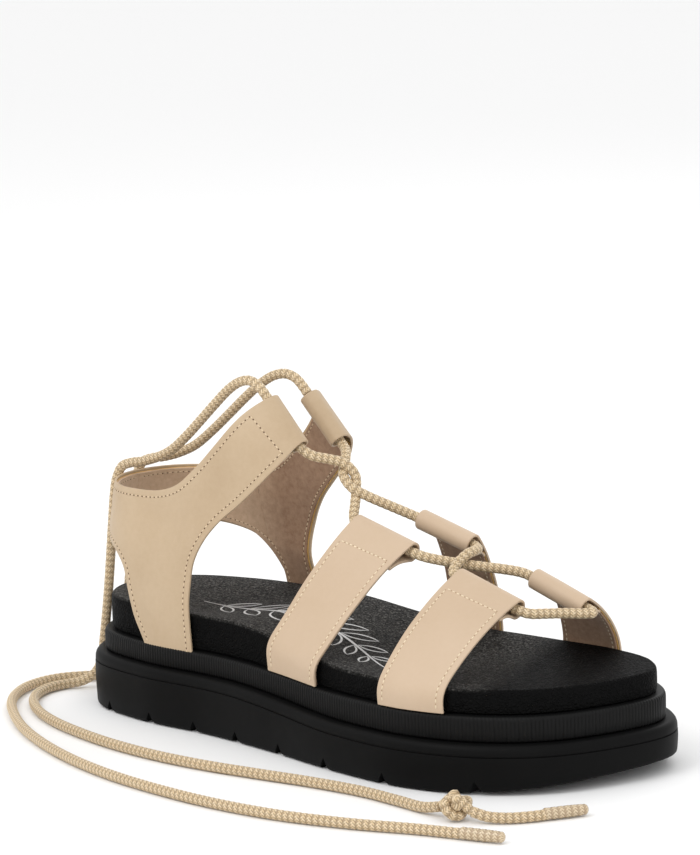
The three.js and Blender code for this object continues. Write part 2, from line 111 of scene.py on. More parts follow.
def softCurve(knots, values, x):
    # smooth curve through the values
    knots, values, x = np.asarray(knots, float), np.asarray(values, float), np.asarray(x, float)
    slopes = np.gradient(values, knots, axis=0)
    i = np.clip(np.searchsorted(knots, x) - 1, 0, len(knots) - 2)
    width = knots[i + 1] - knots[i]
    t = np.clip((x - knots[i]) / width, 0, 1)
    return ((1 + 2 * t) * (1 - t) ** 2 * values[i] + t * (1 - t) ** 2 * width * slopes[i]
            + t * t * (3 - 2 * t) * values[i + 1] + t * t * (t - 1) * width * slopes[i + 1])


def alongRoute(points, steps, closed=False):
    # even steps along a smooth curve through the points
    points = np.asarray(points, float)
    if closed:
        chain = np.vstack([points[-1], points, points[:2]])
    else:
        chain = np.vstack([2 * points[0] - points[1], points, 2 * points[-1] - points[-2]])
    fine = []
    for p0, p1, p2, p3 in zip(chain, chain[1:], chain[2:], chain[3:]):
        t0 = 0.0  # knots spaced by the root of the chord, so tight bends don't overshoot
        t1 = t0 + max(np.linalg.norm(p1 - p0), 1e-6) ** 0.5
        t2 = t1 + max(np.linalg.norm(p2 - p1), 1e-6) ** 0.5
        t3 = t2 + max(np.linalg.norm(p3 - p2), 1e-6) ** 0.5
        t = np.linspace(t1, t2, 24, endpoint=False)[:, None]
        a1 = (t1 - t) / (t1 - t0) * p0 + (t - t0) / (t1 - t0) * p1
        a2 = (t2 - t) / (t2 - t1) * p1 + (t - t1) / (t2 - t1) * p2
        a3 = (t3 - t) / (t3 - t2) * p2 + (t - t2) / (t3 - t2) * p3
        b1 = (t2 - t) / (t2 - t0) * a1 + (t - t0) / (t2 - t0) * a2
        b2 = (t3 - t) / (t3 - t1) * a2 + (t - t1) / (t3 - t1) * a3
        fine.append((t2 - t) / (t2 - t1) * b1 + (t - t1) / (t2 - t1) * b2)
    fine = np.vstack(fine + [points[:1] if closed else points[-1:]])
    walked = distances(fine)
    return onLine(np.linspace(0, walked[-1], steps), walked, fine)


def routeLength(points):
    return float(np.linalg.norm(np.diff(points, axis=0), axis=1).sum())


def gridPiece(name, spots, closed=False, values=None):
    # a flat grid whose corners are moved to the spots, across by along; values are kept on the corners
    across, along = spots.shape[:2]
    bpy.ops.object.select_all(action="DESELECT")
    bpy.ops.mesh.primitive_grid_add(x_subdivisions=across - 1, y_subdivisions=along - 1, size=1)
    piece = bpy.context.active_object
    piece.name = piece.data.name = name
    flat = np.zeros(len(piece.data.vertices) * 3)
    piece.data.vertices.foreach_get("co", flat)
    flat = flat.reshape(-1, 3)
    i = np.rint((flat[:, 0] + 0.5) * (across - 1)).astype(int)
    j = np.rint((flat[:, 1] + 0.5) * (along - 1)).astype(int)
    piece.data.vertices.foreach_set("co", toRow(spots[i, j]).ravel())
    for key, grid in (values or {}).items():
        piece.data.attributes.new(key, "FLOAT", "POINT").data.foreach_set("value", grid[i, j].astype(np.float32))
    piece.data.update()
    if closed:
        inEditMode(piece, lambda: bpy.ops.mesh.remove_doubles(threshold=2e-6))
        inEditMode(piece, lambda: bpy.ops.mesh.normals_make_consistent(inside=False))
    return piece


def inEditMode(piece, work):
    pick(piece)
    bpy.ops.object.mode_set(mode="EDIT")
    bpy.ops.mesh.select_all(action="SELECT")
    work()
    bpy.ops.object.mode_set(mode="OBJECT")


def turnTo(sheet, spot, look):
    # the face nearest the spot looks the given way
    count = len(sheet.data.polygons)
    centres, normals = np.zeros(count * 3), np.zeros(count * 3)
    sheet.data.polygons.foreach_get("center", centres)
    sheet.data.polygons.foreach_get("normal", normals)
    nearest = np.argmin(np.linalg.norm(centres.reshape(-1, 3) - toRow(spot), axis=1))
    if normals.reshape(-1, 3)[nearest] @ np.asarray(look) < 0:
        inEditMode(sheet, lambda: bpy.ops.mesh.flip_normals())


def pick(piece):
    # the piece alone is selected and active
    bpy.ops.object.select_all(action="DESELECT")
    piece.select_set(True)
    bpy.context.view_layer.objects.active = piece


def modify(piece, kind, **values):
    pick(piece)
    step = piece.modifiers.new(kind.title(), kind)
    for key, value in values.items():
        setattr(step, key, value)
    bpy.ops.object.modifier_apply(modifier=step.name)


def smooth(piece, degrees):
    pick(piece)
    bpy.ops.object.shade_smooth_by_angle(angle=math.radians(degrees))


def joined(name, parts):
    bpy.ops.object.select_all(action="DESELECT")
    for part in parts:
        part.select_set(True)
    bpy.context.view_layer.objects.active = parts[0]
    bpy.ops.object.join()
    parts[0].name = parts[0].data.name = name
    return parts[0]


def settle(piece, material, slot, *nodes):
    # material and body of a finished piece, and the CAD nodes that it stands for; the slot is not used
    if not piece.data.materials:
        piece.data.materials.append(material)
    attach(piece, "root")
    if nodes:
        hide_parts(*nodes)
    return piece


def linear(red, green, blue):
    # a screen colour from 0 to 255 as the shader's linear colour
    channels = [c / 255 for c in (red, green, blue)]
    return tuple(c / 12.92 if c <= 0.04045 else ((c + 0.055) / 1.055) ** 2.4 for c in channels) + (1.0,)


class Nodes:
    # shorthand for a material's node tree
    def __init__(self, name):
        self.material = bpy.data.materials.new(name)
        self.material.use_nodes = True
        self.tree = self.material.node_tree
        self.shader = self.tree.nodes["Principled BSDF"]

    def add(self, kind, inputs=None, **settings):
        node = self.tree.nodes.new(kind)
        for key, value in settings.items():
            setattr(node, key, value)
        for key, value in (inputs or {}).items():
            if isinstance(value, bpy.types.NodeSocket):
                self.tree.links.new(value, node.inputs[key])
            else:
                node.inputs[key].default_value = value
        return node

    def place(self, turn=(0, 0, 0)):
        spot = self.add("ShaderNodeTexCoord").outputs["Object"]
        return self.add("ShaderNodeMapping", {"Vector": spot, "Rotation": turn}).outputs["Vector"]

    def noise(self, scale, detail=3.0, roughness=0.55, vector=None):
        vector = vector or self.place()
        return self.add("ShaderNodeTexNoise", {"Vector": vector, "Scale": scale, "Detail": detail,
                                               "Roughness": roughness}).outputs["Fac"]

    def cells(self, scale, vector=None):
        vector = vector or self.place()
        return self.add("ShaderNodeTexVoronoi", {"Vector": vector, "Scale": scale},
                        feature="DISTANCE_TO_EDGE").outputs["Distance"]

    def math(self, operation, first, second):
        return self.add("ShaderNodeMath", {0: first, 1: second}, operation=operation).outputs[0]

    def axis(self, vector, name):
        return self.add("ShaderNodeSeparateXYZ", {"Vector": vector}).outputs[name]

    def mix(self, share, first, second):
        return self.add("ShaderNodeMixRGB", {"Fac": share, "Color1": first, "Color2": second}).outputs["Color"]

    def attribute(self, name):
        return self.add("ShaderNodeAttribute", attribute_name=name).outputs["Fac"]

    def ramp(self, factor, stops):
        node = self.add("ShaderNodeValToRGB", {"Fac": factor})
        while len(node.color_ramp.elements) < len(stops):
            node.color_ramp.elements.new(0.5)
        for element, (spot, colour) in zip(node.color_ramp.elements, stops):
            element.position, element.color = spot, colour
        return node.outputs["Color"]

    def spread(self, factor, low, high, fromLow=0.0, fromHigh=1.0):
        return self.add("ShaderNodeMapRange", {"Value": factor, "From Min": fromLow, "From Max": fromHigh,
                                               "To Min": low, "To Max": high}).outputs["Result"]

    def bump(self, height, distance, strength=1.0, below=None):
        inputs = {"Height": height, "Distance": distance, "Strength": strength}
        if below:
            inputs["Normal"] = below
        return self.add("ShaderNodeBump", inputs).outputs["Normal"]

    def finish(self, colour, roughness, normal=None, **sockets):
        for name, value in (("Base Color", colour), ("Roughness", roughness), ("Normal", normal)):
            if isinstance(value, bpy.types.NodeSocket):
                self.tree.links.new(value, self.shader.inputs[name])
            elif value is not None:
                self.shader.inputs[name].default_value = value
        for name, value in sockets.items():
            self.shader.inputs[name.replace("_", " ")].default_value = value
        return self.material


def nudeLeather(name, light, dark):
    n = Nodes(name)
    cloud = n.noise(22, 4)
    fleck = n.noise(520, 4, 0.6)
    colour = n.ramp(n.math("ADD", n.spread(cloud, 0.0, 0.8, 0.3, 0.7), n.spread(fleck, 0.0, 0.2, 0.3, 0.7)),
                    [(0.0, dark), (1.0, light)])
    pores = n.cells(1500)
    grain = n.bump(n.spread(pores, 0, 1, 0, 0.12), 0.00004, 0.4)
    wrinkle = n.bump(n.noise(330, 4), 0.00018, 0.5, grain)
    roll = n.bump(n.noise(60, 2), 0.0007, 0.4, wrinkle)
    rough = n.spread(n.noise(140, 3), 0.42, 0.58)
    return n.finish(colour, rough, roll, Specular_IOR_Level=0.3, Coat_Weight=0.04, Coat_Roughness=0.35)


def suedeLining(name, light, dark, heelLight, heelDark):
    n = Nodes(name)
    # paler behind the heel, where the lining is smooth leather
    along = n.axis(n.place(), "X")
    cloud = n.noise(420, 5, 0.7)
    suede = n.ramp(cloud, [(0.32, dark), (0.68, light)])
    pale = n.ramp(cloud, [(0.32, heelDark), (0.68, heelLight)])
    colour = n.mix(n.spread(along, 1.0, 0.0, -0.093, -0.068), suede, pale)
    nap = n.bump(n.noise(2600, 3, 0.7), 0.0001, 0.7)
    return n.finish(colour, 0.93, nap, Specular_IOR_Level=0.2, Sheen_Weight=0.25, Sheen_Roughness=0.5)


def dimmed(colour, share):
    return tuple(c * share for c in colour[:3]) + (1,)


def plainSkin(name, colour, roughness, scale=900):
    n = Nodes(name)
    shade = n.ramp(n.noise(scale * 0.3, 3), [(0.3, dimmed(colour, 0.86)), (0.7, colour)])
    return n.finish(shade, n.spread(n.noise(scale * 0.2, 2), roughness - 0.06, roughness + 0.06),
                    n.bump(n.noise(scale, 4), 0.00004, 0.6))


def rubberSkin(name, colour, roughness, gloss):
    n = Nodes(name)
    shade = n.ramp(n.noise(45, 3), [(0.3, dimmed(colour, 0.75)), (0.7, colour)])
    fine = n.bump(n.noise(2300, 3, 0.6), 0.00003, 0.5)
    broad = n.bump(n.noise(80, 2), 0.0003, 0.25, fine)
    return n.finish(shade, n.spread(n.noise(160, 3), roughness - 0.05, roughness + 0.07), broad,
                    Specular_IOR_Level=gloss)


def grainedSkin(name, crestSheen, valley, side, roughness, gloss):
    # pressed grain on top: pebbles between fine creases, their light crests painted sheen and the dark creases painted
    # shade, paler at the heel and black in the toe dish; plain sides, so the top's painted sheen makes it lighter than
    # the sides
    n = Nodes(name)
    warp = n.add("ShaderNodeTexNoise", {"Vector": n.place(), "Scale": 260, "Detail": 2}).outputs["Color"]
    bent = n.mix(0.0026, n.place(), warp)
    crease = n.spread(n.cells(760, bent), 0.1, 1, 0, 0.4)
    patch = n.spread(n.noise(720, 4, 0.7), 0.3, 1.6, 0.4, 0.62)
    fine = n.bump(n.noise(3600, 2), 0.00004, 0.4)
    grain = n.bump(crease, 0.0006, 0.9, fine)
    broad = n.bump(n.noise(210, 3), 0.0009, 0.6, grain)
    along = n.axis(n.place(turn=(0, 0, -0.34)), "X")
    zones = n.math("MULTIPLY", n.spread(along, 1.0, 0.06, 0.068, 0.082), n.spread(along, 1.35, 1.0, -0.1, -0.03))
    # the ramp paints sheen on the pebbles' crests and shade in the creases; valley is the painted crease shade
    pebbleSheenAndShade = n.ramp(n.math("MULTIPLY", n.math("MULTIPLY", crease, patch), zones), [(0.0, valley), (1.0, crestSheen)])
    upward = n.axis(n.add("ShaderNodeNewGeometry").outputs["Normal"], "Z")
    # only faces that look up get the painted sheen and shade, so the top is lighter than the plain sides
    shade = n.mix(n.spread(upward, 0.0, 1.0, 0.3, 0.95), side, pebbleSheenAndShade)
    return n.finish(shade, n.spread(n.noise(420, 3), roughness - 0.1, roughness + 0.14), broad,
                    Specular_IOR_Level=gloss)


def braidSkin(name, cream, gold, shadow):
    # the tube carries its own relief and strand family, so the colour follows the weave
    n = Nodes(name)
    thread = n.mix(n.attribute("yarn"), cream, gold)
    flecked = n.mix(n.spread(n.noise(4200, 2, 0.6), 0.0, 0.5, 0.5, 0.72), thread, gold)
    colour = n.mix(n.spread(n.attribute("relief"), 0.0, 1.0, 0.0, 0.75), shadow, flecked)
    fibre = n.bump(n.noise(6000, 3, 0.7), 0.00006, 0.6)
    return n.finish(colour, 0.5, fibre, Specular_IOR_Level=0.45, Sheen_Weight=0.15, Sheen_Roughness=0.4)


leatherSkin = nudeLeather("nude_leather", linear(202, 179, 154), linear(194, 170, 143))
# the quarter's wider range of cloud tone is random leather tone and partly painted shade standing in for the leather's
# soft ripples
quarterSkin = nudeLeather("nude_leather_quarter", linear(196, 174, 145), linear(179, 155, 125))
liningSkin = suedeLining("tan_suede_lining", linear(170, 139, 113), linear(144, 113, 89), linear(216, 188, 160),
                         linear(198, 169, 140))
edgeSkin = plainSkin("gilt_cut_edge", linear(240, 198, 122), 0.45)
threadSkin = plainSkin("beige_thread", linear(220, 198, 166), 0.7, 3000)
softThreadSkin = plainSkin("cream_thread", linear(234, 217, 187), 0.7, 3000)
# needle holes are small raised spots coloured as painted shade, not recesses
holeShadeSkin = plainSkin("painted_hole_shade", linear(88, 62, 40), 0.9)
softHoleShadeSkin = plainSkin("soft_painted_hole_shade", linear(164, 132, 100), 0.9)
rubber = rubberSkin("black_rubber", linear(13, 13, 13), 0.5, 0.08)
ribbedRubber = rubberSkin("black_ribbed_band", linear(13, 13, 13), 0.5, 0.16)
# the light crest colour is painted sheen and the dark valley colour painted shade in the grain's creases
footbedSkin = grainedSkin("black_grained_footbed", linear(104, 102, 99), linear(8, 8, 9), linear(17, 17, 17),
                          0.5, 0.02)
printSkin = plainSkin("white_print", linear(222, 222, 222), 0.5)
braid = braidSkin("cream_gold_braid", linear(228, 208, 175), linear(204, 176, 132), linear(112, 84, 50))
print("materials made")

laceSet = {"radius": 2.0, "strands": 10, "cornersPerStrand": 4, "relief": 0.26, "lift": 0.85}
laceSet["pitch"] = 2 * math.pi * laceSet["radius"] / laceSet["strands"]
# both strands start in the top tunnels and cross twice on their way to the toe bar
outerStrand = [
    [90.8, -11.5, 130.9], [98.5, -11.6, 122.5], [106.2, -11.7, 114.1], [110.8, -9.6, 110.8], [114.9, -5.2, 109.2],
    [119.4, -0.8, 107.2], [122.4, 2.2, 102.4], [124, 0.8, 96.8], [126, -2.4, 91.6], [128.2, -5.8, 87.9],
    [131.3, -8, 85.3], [145.7, -8.2, 81.3], [160, -8.4, 77.4], [164.8, -7, 76], [169.8, -3.8, 74.7],
    [175.6, 0.4, 73.4], [183, 5, 72.2], [190.6, 9.6, 71.2], [197.2, 12.8, 70], [202.4, 13.7, 68.3],
    [214.6, 14, 63.9], [226.8, 14.2, 59.5], [231.2, 12.4, 58.6], [229.2, 8, 58.8], [225.6, 3.4, 59.4],
]
innerStrand = [
    [92.2, 10.6, 130], [99.9, 10.7, 121.6], [107.6, 10.8, 113.2], [111.6, 9.2, 110.6], [114.8, 5.8, 109],
    [117.2, 2.4, 106.4], [118.8, -0.6, 102.6], [123.6, -1.4, 98.2], [128.6, 2.2, 94.6], [134.6, 6.6, 91.2],
    [141, 10.8, 87.9], [147.1, 12.9, 85.5], [159.9, 13.1, 81.8], [172.7, 13.2, 78.1], [176.2, 11.4, 77.3],
    [178, 7.4, 77.4], [178.6, 2.6, 77.2], [178.2, -2.6, 74.8], [179.2, -7.2, 72], [183.4, -9.3, 70.1],
    [197.9, -9.5, 65.7], [212.4, -9.6, 61.3], [217, -8, 60.2], [220.2, -3.6, 59.8], [225.2, 2.8, 59.4],
]
# the ties run back from the top tunnels, drop behind the heel and lie on the floor
outerTie = [
    [90.5, -11.5, 131.3], [87.8, -11.5, 134.2], [84.2, -11.3, 137], [79.6, -11, 138.1], [74.2, -10.6, 136.9],
    [67.8, -10, 133.3], [60, -9.4, 127], [51, -8.8, 119.2], [42, -8.2, 111.6], [33, -7.7, 105],
    [24.5, -7.2, 101.2], [16.5, -6.9, 98.8], [10, -6.7, 97.6], [4.2, -6.6, 95.4], [0.8, -6.5, 90.2],
    [-1, -6.4, 83], [-2.6, -6.3, 72], [-6.4, -6.5, 42], [-9.6, -6.7, 22], [-11.2, -7, 12.8], [-14.6, -7.8, 6.6],
    [-19.6, -10, 3], [-23.8, -14.4, 2.05], [-25.4, -21, 2.05], [-24, -29.6, 2.05], [-19.4, -38.5, 2.05],
    [-10.5, -48, 2.05], [2, -57, 2.05], [18, -65, 2.05], [38, -72, 2.05], [62, -78, 2.05], [88, -81.5, 2.05],
    [114, -82, 2.05], [140, -80, 2.05], [166, -77.5, 2.05], [190, -77, 2.05], [210, -79.5, 2.05],
    [224, -82, 2.3], [233, -82.6, 4],
]
outerTip = [[246.8, -81.6, 4], [252.4, -79.4, 2.5], [258.4, -75.4, 2.05], [263.6, -69.6, 2.05],
            [266.6, -64.4, 2.05]]
innerTie = [
    [91.6, 10.6, 130.7], [88.9, 10.6, 133.6], [85.2, 10.5, 136.6], [80.4, 10.2, 137.9], [74.6, 9.8, 136.8],
    [68, 9.3, 133.2], [60, 8.7, 127], [51, 8, 119.2], [42, 7.3, 111.6], [33, 6.7, 105], [24.5, 6.3, 101.2],
    [16.5, 6, 98.8], [10, 5.8, 97.6], [4.2, 5.7, 95.4], [0.8, 5.6, 90.2], [-1, 5.6, 83], [-2.6, 5.6, 72],
    [-6.4, 5.7, 42], [-9.6, 5.8, 22], [-11.4, 5.7, 12.8], [-15.2, 5.2, 6.4], [-21.4, 3.6, 2.7],
    [-28, -0.4, 2.05], [-33.2, -7.4, 2.05], [-35.6, -17, 2.05], [-34.2, -28.5, 2.05], [-28.5, -40.5, 2.05],
    [-19, -52.5, 2.05], [-5, -65, 2.05], [14, -79, 2.05], [38, -92.5, 2.05], [66, -104.5, 2.05],
    [96, -113.5, 2.05], [127, -119, 2.05], [158, -121.5, 2.05], [188, -120, 2.05], [216, -114, 2.05],
    [242, -105.5, 2.05], [258, -101.5, 2.05],
]


def carriedFrames(path):
    # side and rise of the cord at each spot, carried along without twisting
    ways = unit(np.gradient(path, axis=0))
    side = np.cross(ways[0], [0, 0, 1.0])
    side = side / np.linalg.norm(side) if np.linalg.norm(side) > 1e-3 else np.array([1.0, 0, 0])
    sides = []
    for way in ways:
        side = side - way * np.dot(side, way)
        side = side / np.linalg.norm(side)
        sides.append(side.copy())
    sides = np.array(sides)
    return ways, sides, np.cross(ways, sides)


def braidRelief(turn, walked):
    # two families of strands wound opposite ways, each passing over two and under two
    strands, pitch = laceSet["strands"], laceSet["pitch"]
    nudge = 1e-4  # keeps the mesh's corners off the borders between strands
    a = strands * turn / (2 * math.pi) + walked / pitch + nudge
    b = strands * turn / (2 * math.pi) - walked / pitch + nudge
    order = np.mod(np.floor(a) - np.floor(b), 4)
    firstOver = order < 2
    acrossFirst, acrossSecond = a - np.floor(a), b - np.floor(b)
    across = np.where(firstOver, acrossFirst, acrossSecond)
    passed = np.clip(np.where(firstOver, np.mod(np.floor(a) - b, 4), np.mod(a - np.floor(b) - 2, 4)) / 2, 0, 1)
    height = np.sin(math.pi * across) ** 0.5 * (0.5 + 0.5 * np.sin(math.pi * passed) ** 0.5)
    strand = np.where(firstOver, np.floor(a), np.floor(b) + 3)
    return height, np.where(np.mod(strand, 2) == 0, 0.55, 0.0)


def braidedCord(name, route, radius=laceSet["radius"], taper=None):
    corners, step = laceSet["cornersPerStrand"], laceSet["pitch"] / laceSet["cornersPerStrand"]
    path = alongRoute(route, max(int(routeLength(alongRoute(route, 400)) / step), 8))
    walked = np.arange(len(path)) * step
    ways, sides, rises = carriedFrames(path)
    turn = np.linspace(0, 2 * math.pi, laceSet["strands"] * corners + 1)
    height, yarn = braidRelief(turn[:, None], walked[None, :])
    reach = radius + laceSet["relief"] * (height - laceSet["lift"])
    if taper is not None:
        reach = reach * taper(walked)[None, :]
    spots = (path[None] + reach[..., None] * (np.cos(turn)[:, None, None] * sides[None]
                                              + np.sin(turn)[:, None, None] * rises[None]))
    # each end closes in on the centre line
    first, last = np.broadcast_to(path[0], spots[:, :1].shape), np.broadcast_to(path[-1], spots[:, :1].shape)
    spots = np.concatenate([first, spots, last], 1)
    spots[-1] = spots[0]
    height = np.concatenate([height[:, :1], height, height[:, -1:]], 1)
    yarn = np.concatenate([yarn[:, :1], yarn, yarn[:, -1:]], 1)
    height[-1], yarn[-1] = height[0], yarn[0]
    cord = gridPiece(name, spots, closed=True, values={"relief": height, "yarn": yarn})
    smooth(cord, 60)
    return cord, path


def makeLace():
    # one length of lace goes down the outer side, across the toe and back up the inner side
    crossing, _ = braidedCord("lace_crossing_cord", outerStrand[:-1] + [[225.4, 3.1, 59.4]] + innerStrand[-2::-1])
    settle(crossing, braid, "lace_crossings", "lace_crossings")
    outerCord, outerPath = braidedCord("lace_tie_outer_cord", outerTie)
    innerCord, innerPath = braidedCord("lace_tie_inner_cord", innerTie)
    settle(outerCord, braid, "lace_tie_outer", "lace_tie_outer")
    settle(innerCord, braid, "lace_tie_inner", "lace_tie_inner")
    knotPieces = makeKnot()
    innerAglet = makeAglet("aglet_inner_sleeve", innerTie, "aglet_inner")
    print("lace laid:", round(routeLength(outerPath)), "and", round(routeLength(innerPath)), "mm ties")


knotSet = {"reach": 3.3, "swing": 1.75, "cord": 1.85, "lift": 1.6, "opening": 0.3, "flatness": 0.86, "depth": 1.5,
           "steps": 22}


def makeKnot():
    # an overhand knot: three crossings, opened where the lace comes in and goes out
    start, end = np.array(outerTie[-1]), np.array(outerTip[0])
    middle = (start + end) / 2 + [0, 0, knotSet["lift"]]
    way = unit(end - start)
    side = np.array([-way[1], way[0], 0])
    t = np.linspace(knotSet["opening"], 2 * math.pi - knotSet["opening"], knotSet["steps"])
    ring = knotSet["reach"] + knotSet["swing"] * np.cos(3 * t)
    loop = (middle + (ring * np.cos(2 * t + math.pi / 2))[:, None] * side
            + (ring * np.sin(2 * t + math.pi / 2))[:, None] * np.array([0, 0, 1.0]) * knotSet["flatness"]
            + (knotSet["swing"] * knotSet["depth"] * np.sin(3 * t))[:, None] * way)
    if np.dot(loop[0] - middle, way) > np.dot(loop[-1] - middle, way):
        loop = loop[::-1]
    route = np.vstack([start, loop, end])
    knot, _ = braidedCord("overhand_knot", route, knotSet["cord"])
    settle(knot, braid, "lace_knot", "lace_knot")
    tip, _ = braidedCord("lace_tip_cord", outerTip)
    settle(tip, braid, "lace_tip_outer", "lace_tip_outer")
    return [knot, tip, makeAglet("aglet_outer_sleeve", outerTip, "aglet_outer")]


agletSet = {"length": 17.0, "radius": 2.25, "overlap": 0.2, "offFloor": 0.05, "pathSpots": 6, "tail": 0.5}


def makeAglet(name, route, node):
    before, end = np.array(route[-2]), np.array(route[-1])
    way = unit((end - before) * [1, 1, 0])
    first = end - way * agletSet["overlap"]
    first[2] = agletSet["radius"] + agletSet["offFloor"]
    path = [first + way * d for d in np.linspace(0, agletSet["length"] + agletSet["tail"], agletSet["pathSpots"])]

    def shrunk(walked):
        # share of the radius along the sleeve: a soft mouth, a slight taper and a rounded end
        share = walked / walked[-1]
        mouth = smoothStep(walked, 0, 0.6) * 0.1 + 0.9
        ending = np.sqrt(np.clip(1 - ((share - 0.9) / 0.1).clip(0, 1) ** 2, 0.03, 1))
        return mouth * (1 - 0.1 * smoothStep(share, 0.55, 1)) * ending * (1 + 0.012 * np.sin(walked * 2.1))

    sleeve, _ = braidedCord(name, path, agletSet["radius"], shrunk)
    return settle(sleeve, agletSkin, node, node)


def clearTip():
    n = Nodes("clear_shrunk_tip")
    # the low parts between the strands under the clear tip get painted shade
    depth = n.spread(n.attribute("relief"), 0, 1, 0.1, 0.9)
    colour = n.ramp(depth, [(0.0, linear(150, 122, 88)), (1.0, linear(214, 194, 160))])
    return n.finish(colour, 0.4, n.bump(n.noise(700, 2), 0.00008, 0.4), Coat_Weight=1.0, Coat_Roughness=0.12)


agletSkin = clearTip()
makeLace()


# the outline is shared by the sole's three layers; heights are given as heel, forefoot
soleSet = {
    "outline": [[0, 0], [10, -21.5], [40, -31.5], [80, -34], [120, -40.5], [160, -49], [195, -52], [225, -43.5],
                [244, -25.5], [256, 16], [244, 32], [225, 38], [195, 39], [160, 38.5], [120, 35], [80, 35],
                [40, 33], [10, 21.5]],
    "centre": (124, -5),
    "outsoleReach": 7.6,
    "midsoleReach": 3.2,
    "outsoleTop": (23, 19),
    "midsoleTop": (31.5, 29),
    "footbedTop": (46, 38.5),
    "wedge": (85, 165),
    "gap": 0.3,
}
outlineFine = alongRoute([[x, y, 0] for x, y in soleSet["outline"]], 4801, closed=True)[:-1]


def outlineSpots(steps):
    # spots on the outline and the way out of it
    at = (np.arange(steps) * len(outlineFine) / steps).astype(int)
    way = unit(np.roll(outlineFine, -8, 0) - np.roll(outlineFine, 8, 0))[at]
    return outlineFine[at], np.stack([way[:, 1], -way[:, 0], np.zeros(steps)], 1)


def halfWidth(x, side):
    on = outlineFine[outlineFine[:, 1] * side > -2]
    on = on[np.argsort(on[:, 0])]
    return np.abs(np.interp(x, on[:, 0], on[:, 1]))


def layerTop(pair, x):
    heel, forefoot = soleSet[pair]
    return heel + (forefoot - heel) * smoothStep(x, *soleSet["wedge"])


def treadHeight(x):
    toe = np.maximum(0, x - 200) / (256 + soleSet["outsoleReach"] - 200)
    heel = np.maximum(0, 14 - x) / (14 + soleSet["outsoleReach"])
    return 5.5 * toe ** 2 + 1.2 * heel ** 2


def soleGrid(rows, steps):
    # rows of (share of the way from the centre to the outline, outset, height); all may follow the outline
    edge, out = outlineSpots(steps)
    centre = np.array([*soleSet["centre"], 0.0])
    grid = []
    for reach, outset, height in rows:
        ring = centre + (edge + out * np.reshape(outset, (-1, 1)) - centre) * reach
        ring[:, 2] = height(ring[:, 0]) if callable(height) else height
        grid.append(ring)
    grid = np.stack(grid, 1)
    return np.concatenate([grid, grid[:1]], 0)


outsoleSet = {"steps": 420, "grooves": [19, 46, 71, 96, 123, 152, 185, 224], "grooveWidth": 5.2, "grooveHeight": 4.6,
              "grooveFlare": 1.25, "grooveDrop": 0.25, "line": 4.3, "lineDepth": 0.45}


def makeOutsole():
    reach = soleSet["outsoleReach"]

    def top(x):
        return layerTop("outsoleTop", x)

    def up(share, lift=0.0):
        return lambda x: treadHeight(x) + (top(x) - treadHeight(x)) * share + lift

    def below(drop):
        return lambda x: top(x) - drop

    line, depth = outsoleSet["line"], outsoleSet["lineDepth"]
    rows = [(0.0, 0, treadHeight), (0.4, 0, treadHeight), (0.75, 0, treadHeight), (0.93, 0, treadHeight),
            (1, reach - 2.2, treadHeight), (1, reach - 1.2, up(0, 0.25)), (1, reach - 0.55, up(0, 0.9)),
            (1, reach - 0.35, up(0, 1.8)), (1, reach - 0.12, up(0.3)), (1, reach, up(0.45)), (1, reach, up(0.55)),
            (1, reach - 0.05, below(line + 0.9)), (1, reach - 0.12, below(line + 0.35)),
            (1, reach - depth - 0.12, below(line + 0.2)), (1, reach - depth - 0.12, below(line - 0.2)),
            (1, reach - 0.15, below(line - 0.35)), (1, reach - 0.2, below(line - 0.9)),
            (1, reach - 0.25, below(2.6)), (1, reach - 0.6, below(1.5)), (1, reach - 1.25, below(0.65)),
            (1, reach - 2.1, below(0.18)), (1, reach - 3.1, top), (0.97, 0, top), (0.6, 0, top), (0.0, 0, top)]
    outsole = gridPiece("outsole_body", soleGrid(rows, outsoleSet["steps"]), closed=True)
    for x in outsoleSet["grooves"]:
        foot = float(treadHeight(x))
        half, height = outsoleSet["grooveWidth"] / 2, outsoleSet["grooveHeight"]
        # a three-sided bar across the tread
        bpy.ops.object.select_all(action="DESELECT")
        bpy.ops.mesh.primitive_cylinder_add(vertices=3, radius=1, depth=0.2,
                                            location=toRow([x, 0, foot]).tolist(),
                                            rotation=(math.radians(90), 0, 0))
        bar = bpy.context.active_object
        bpy.ops.object.transform_apply(location=False, rotation=True, scale=True)
        for corner in bar.data.vertices:
            upward = corner.co.z > 0.9
            flare, drop = outsoleSet["grooveFlare"], outsoleSet["grooveDrop"]
            corner.co.x = 0 if upward else math.copysign(half * flare, corner.co.x) * mm
            corner.co.z = (height if upward else -height * drop) * mm
        bpy.ops.object.transform_apply(location=True)
        modify(outsole, "BOOLEAN", object=bar, operation="DIFFERENCE", solver="EXACT")
        bpy.data.objects.remove(bar)
    smooth(outsole, 35)
    settle(outsole, rubber, "outsole", "outsole")
    print("outsole done,", len(outsole.data.polygons), "faces")


midsoleSet = {"ribPitch": 1.5, "ribDepth": 0.3, "cornersPerRib": 5}


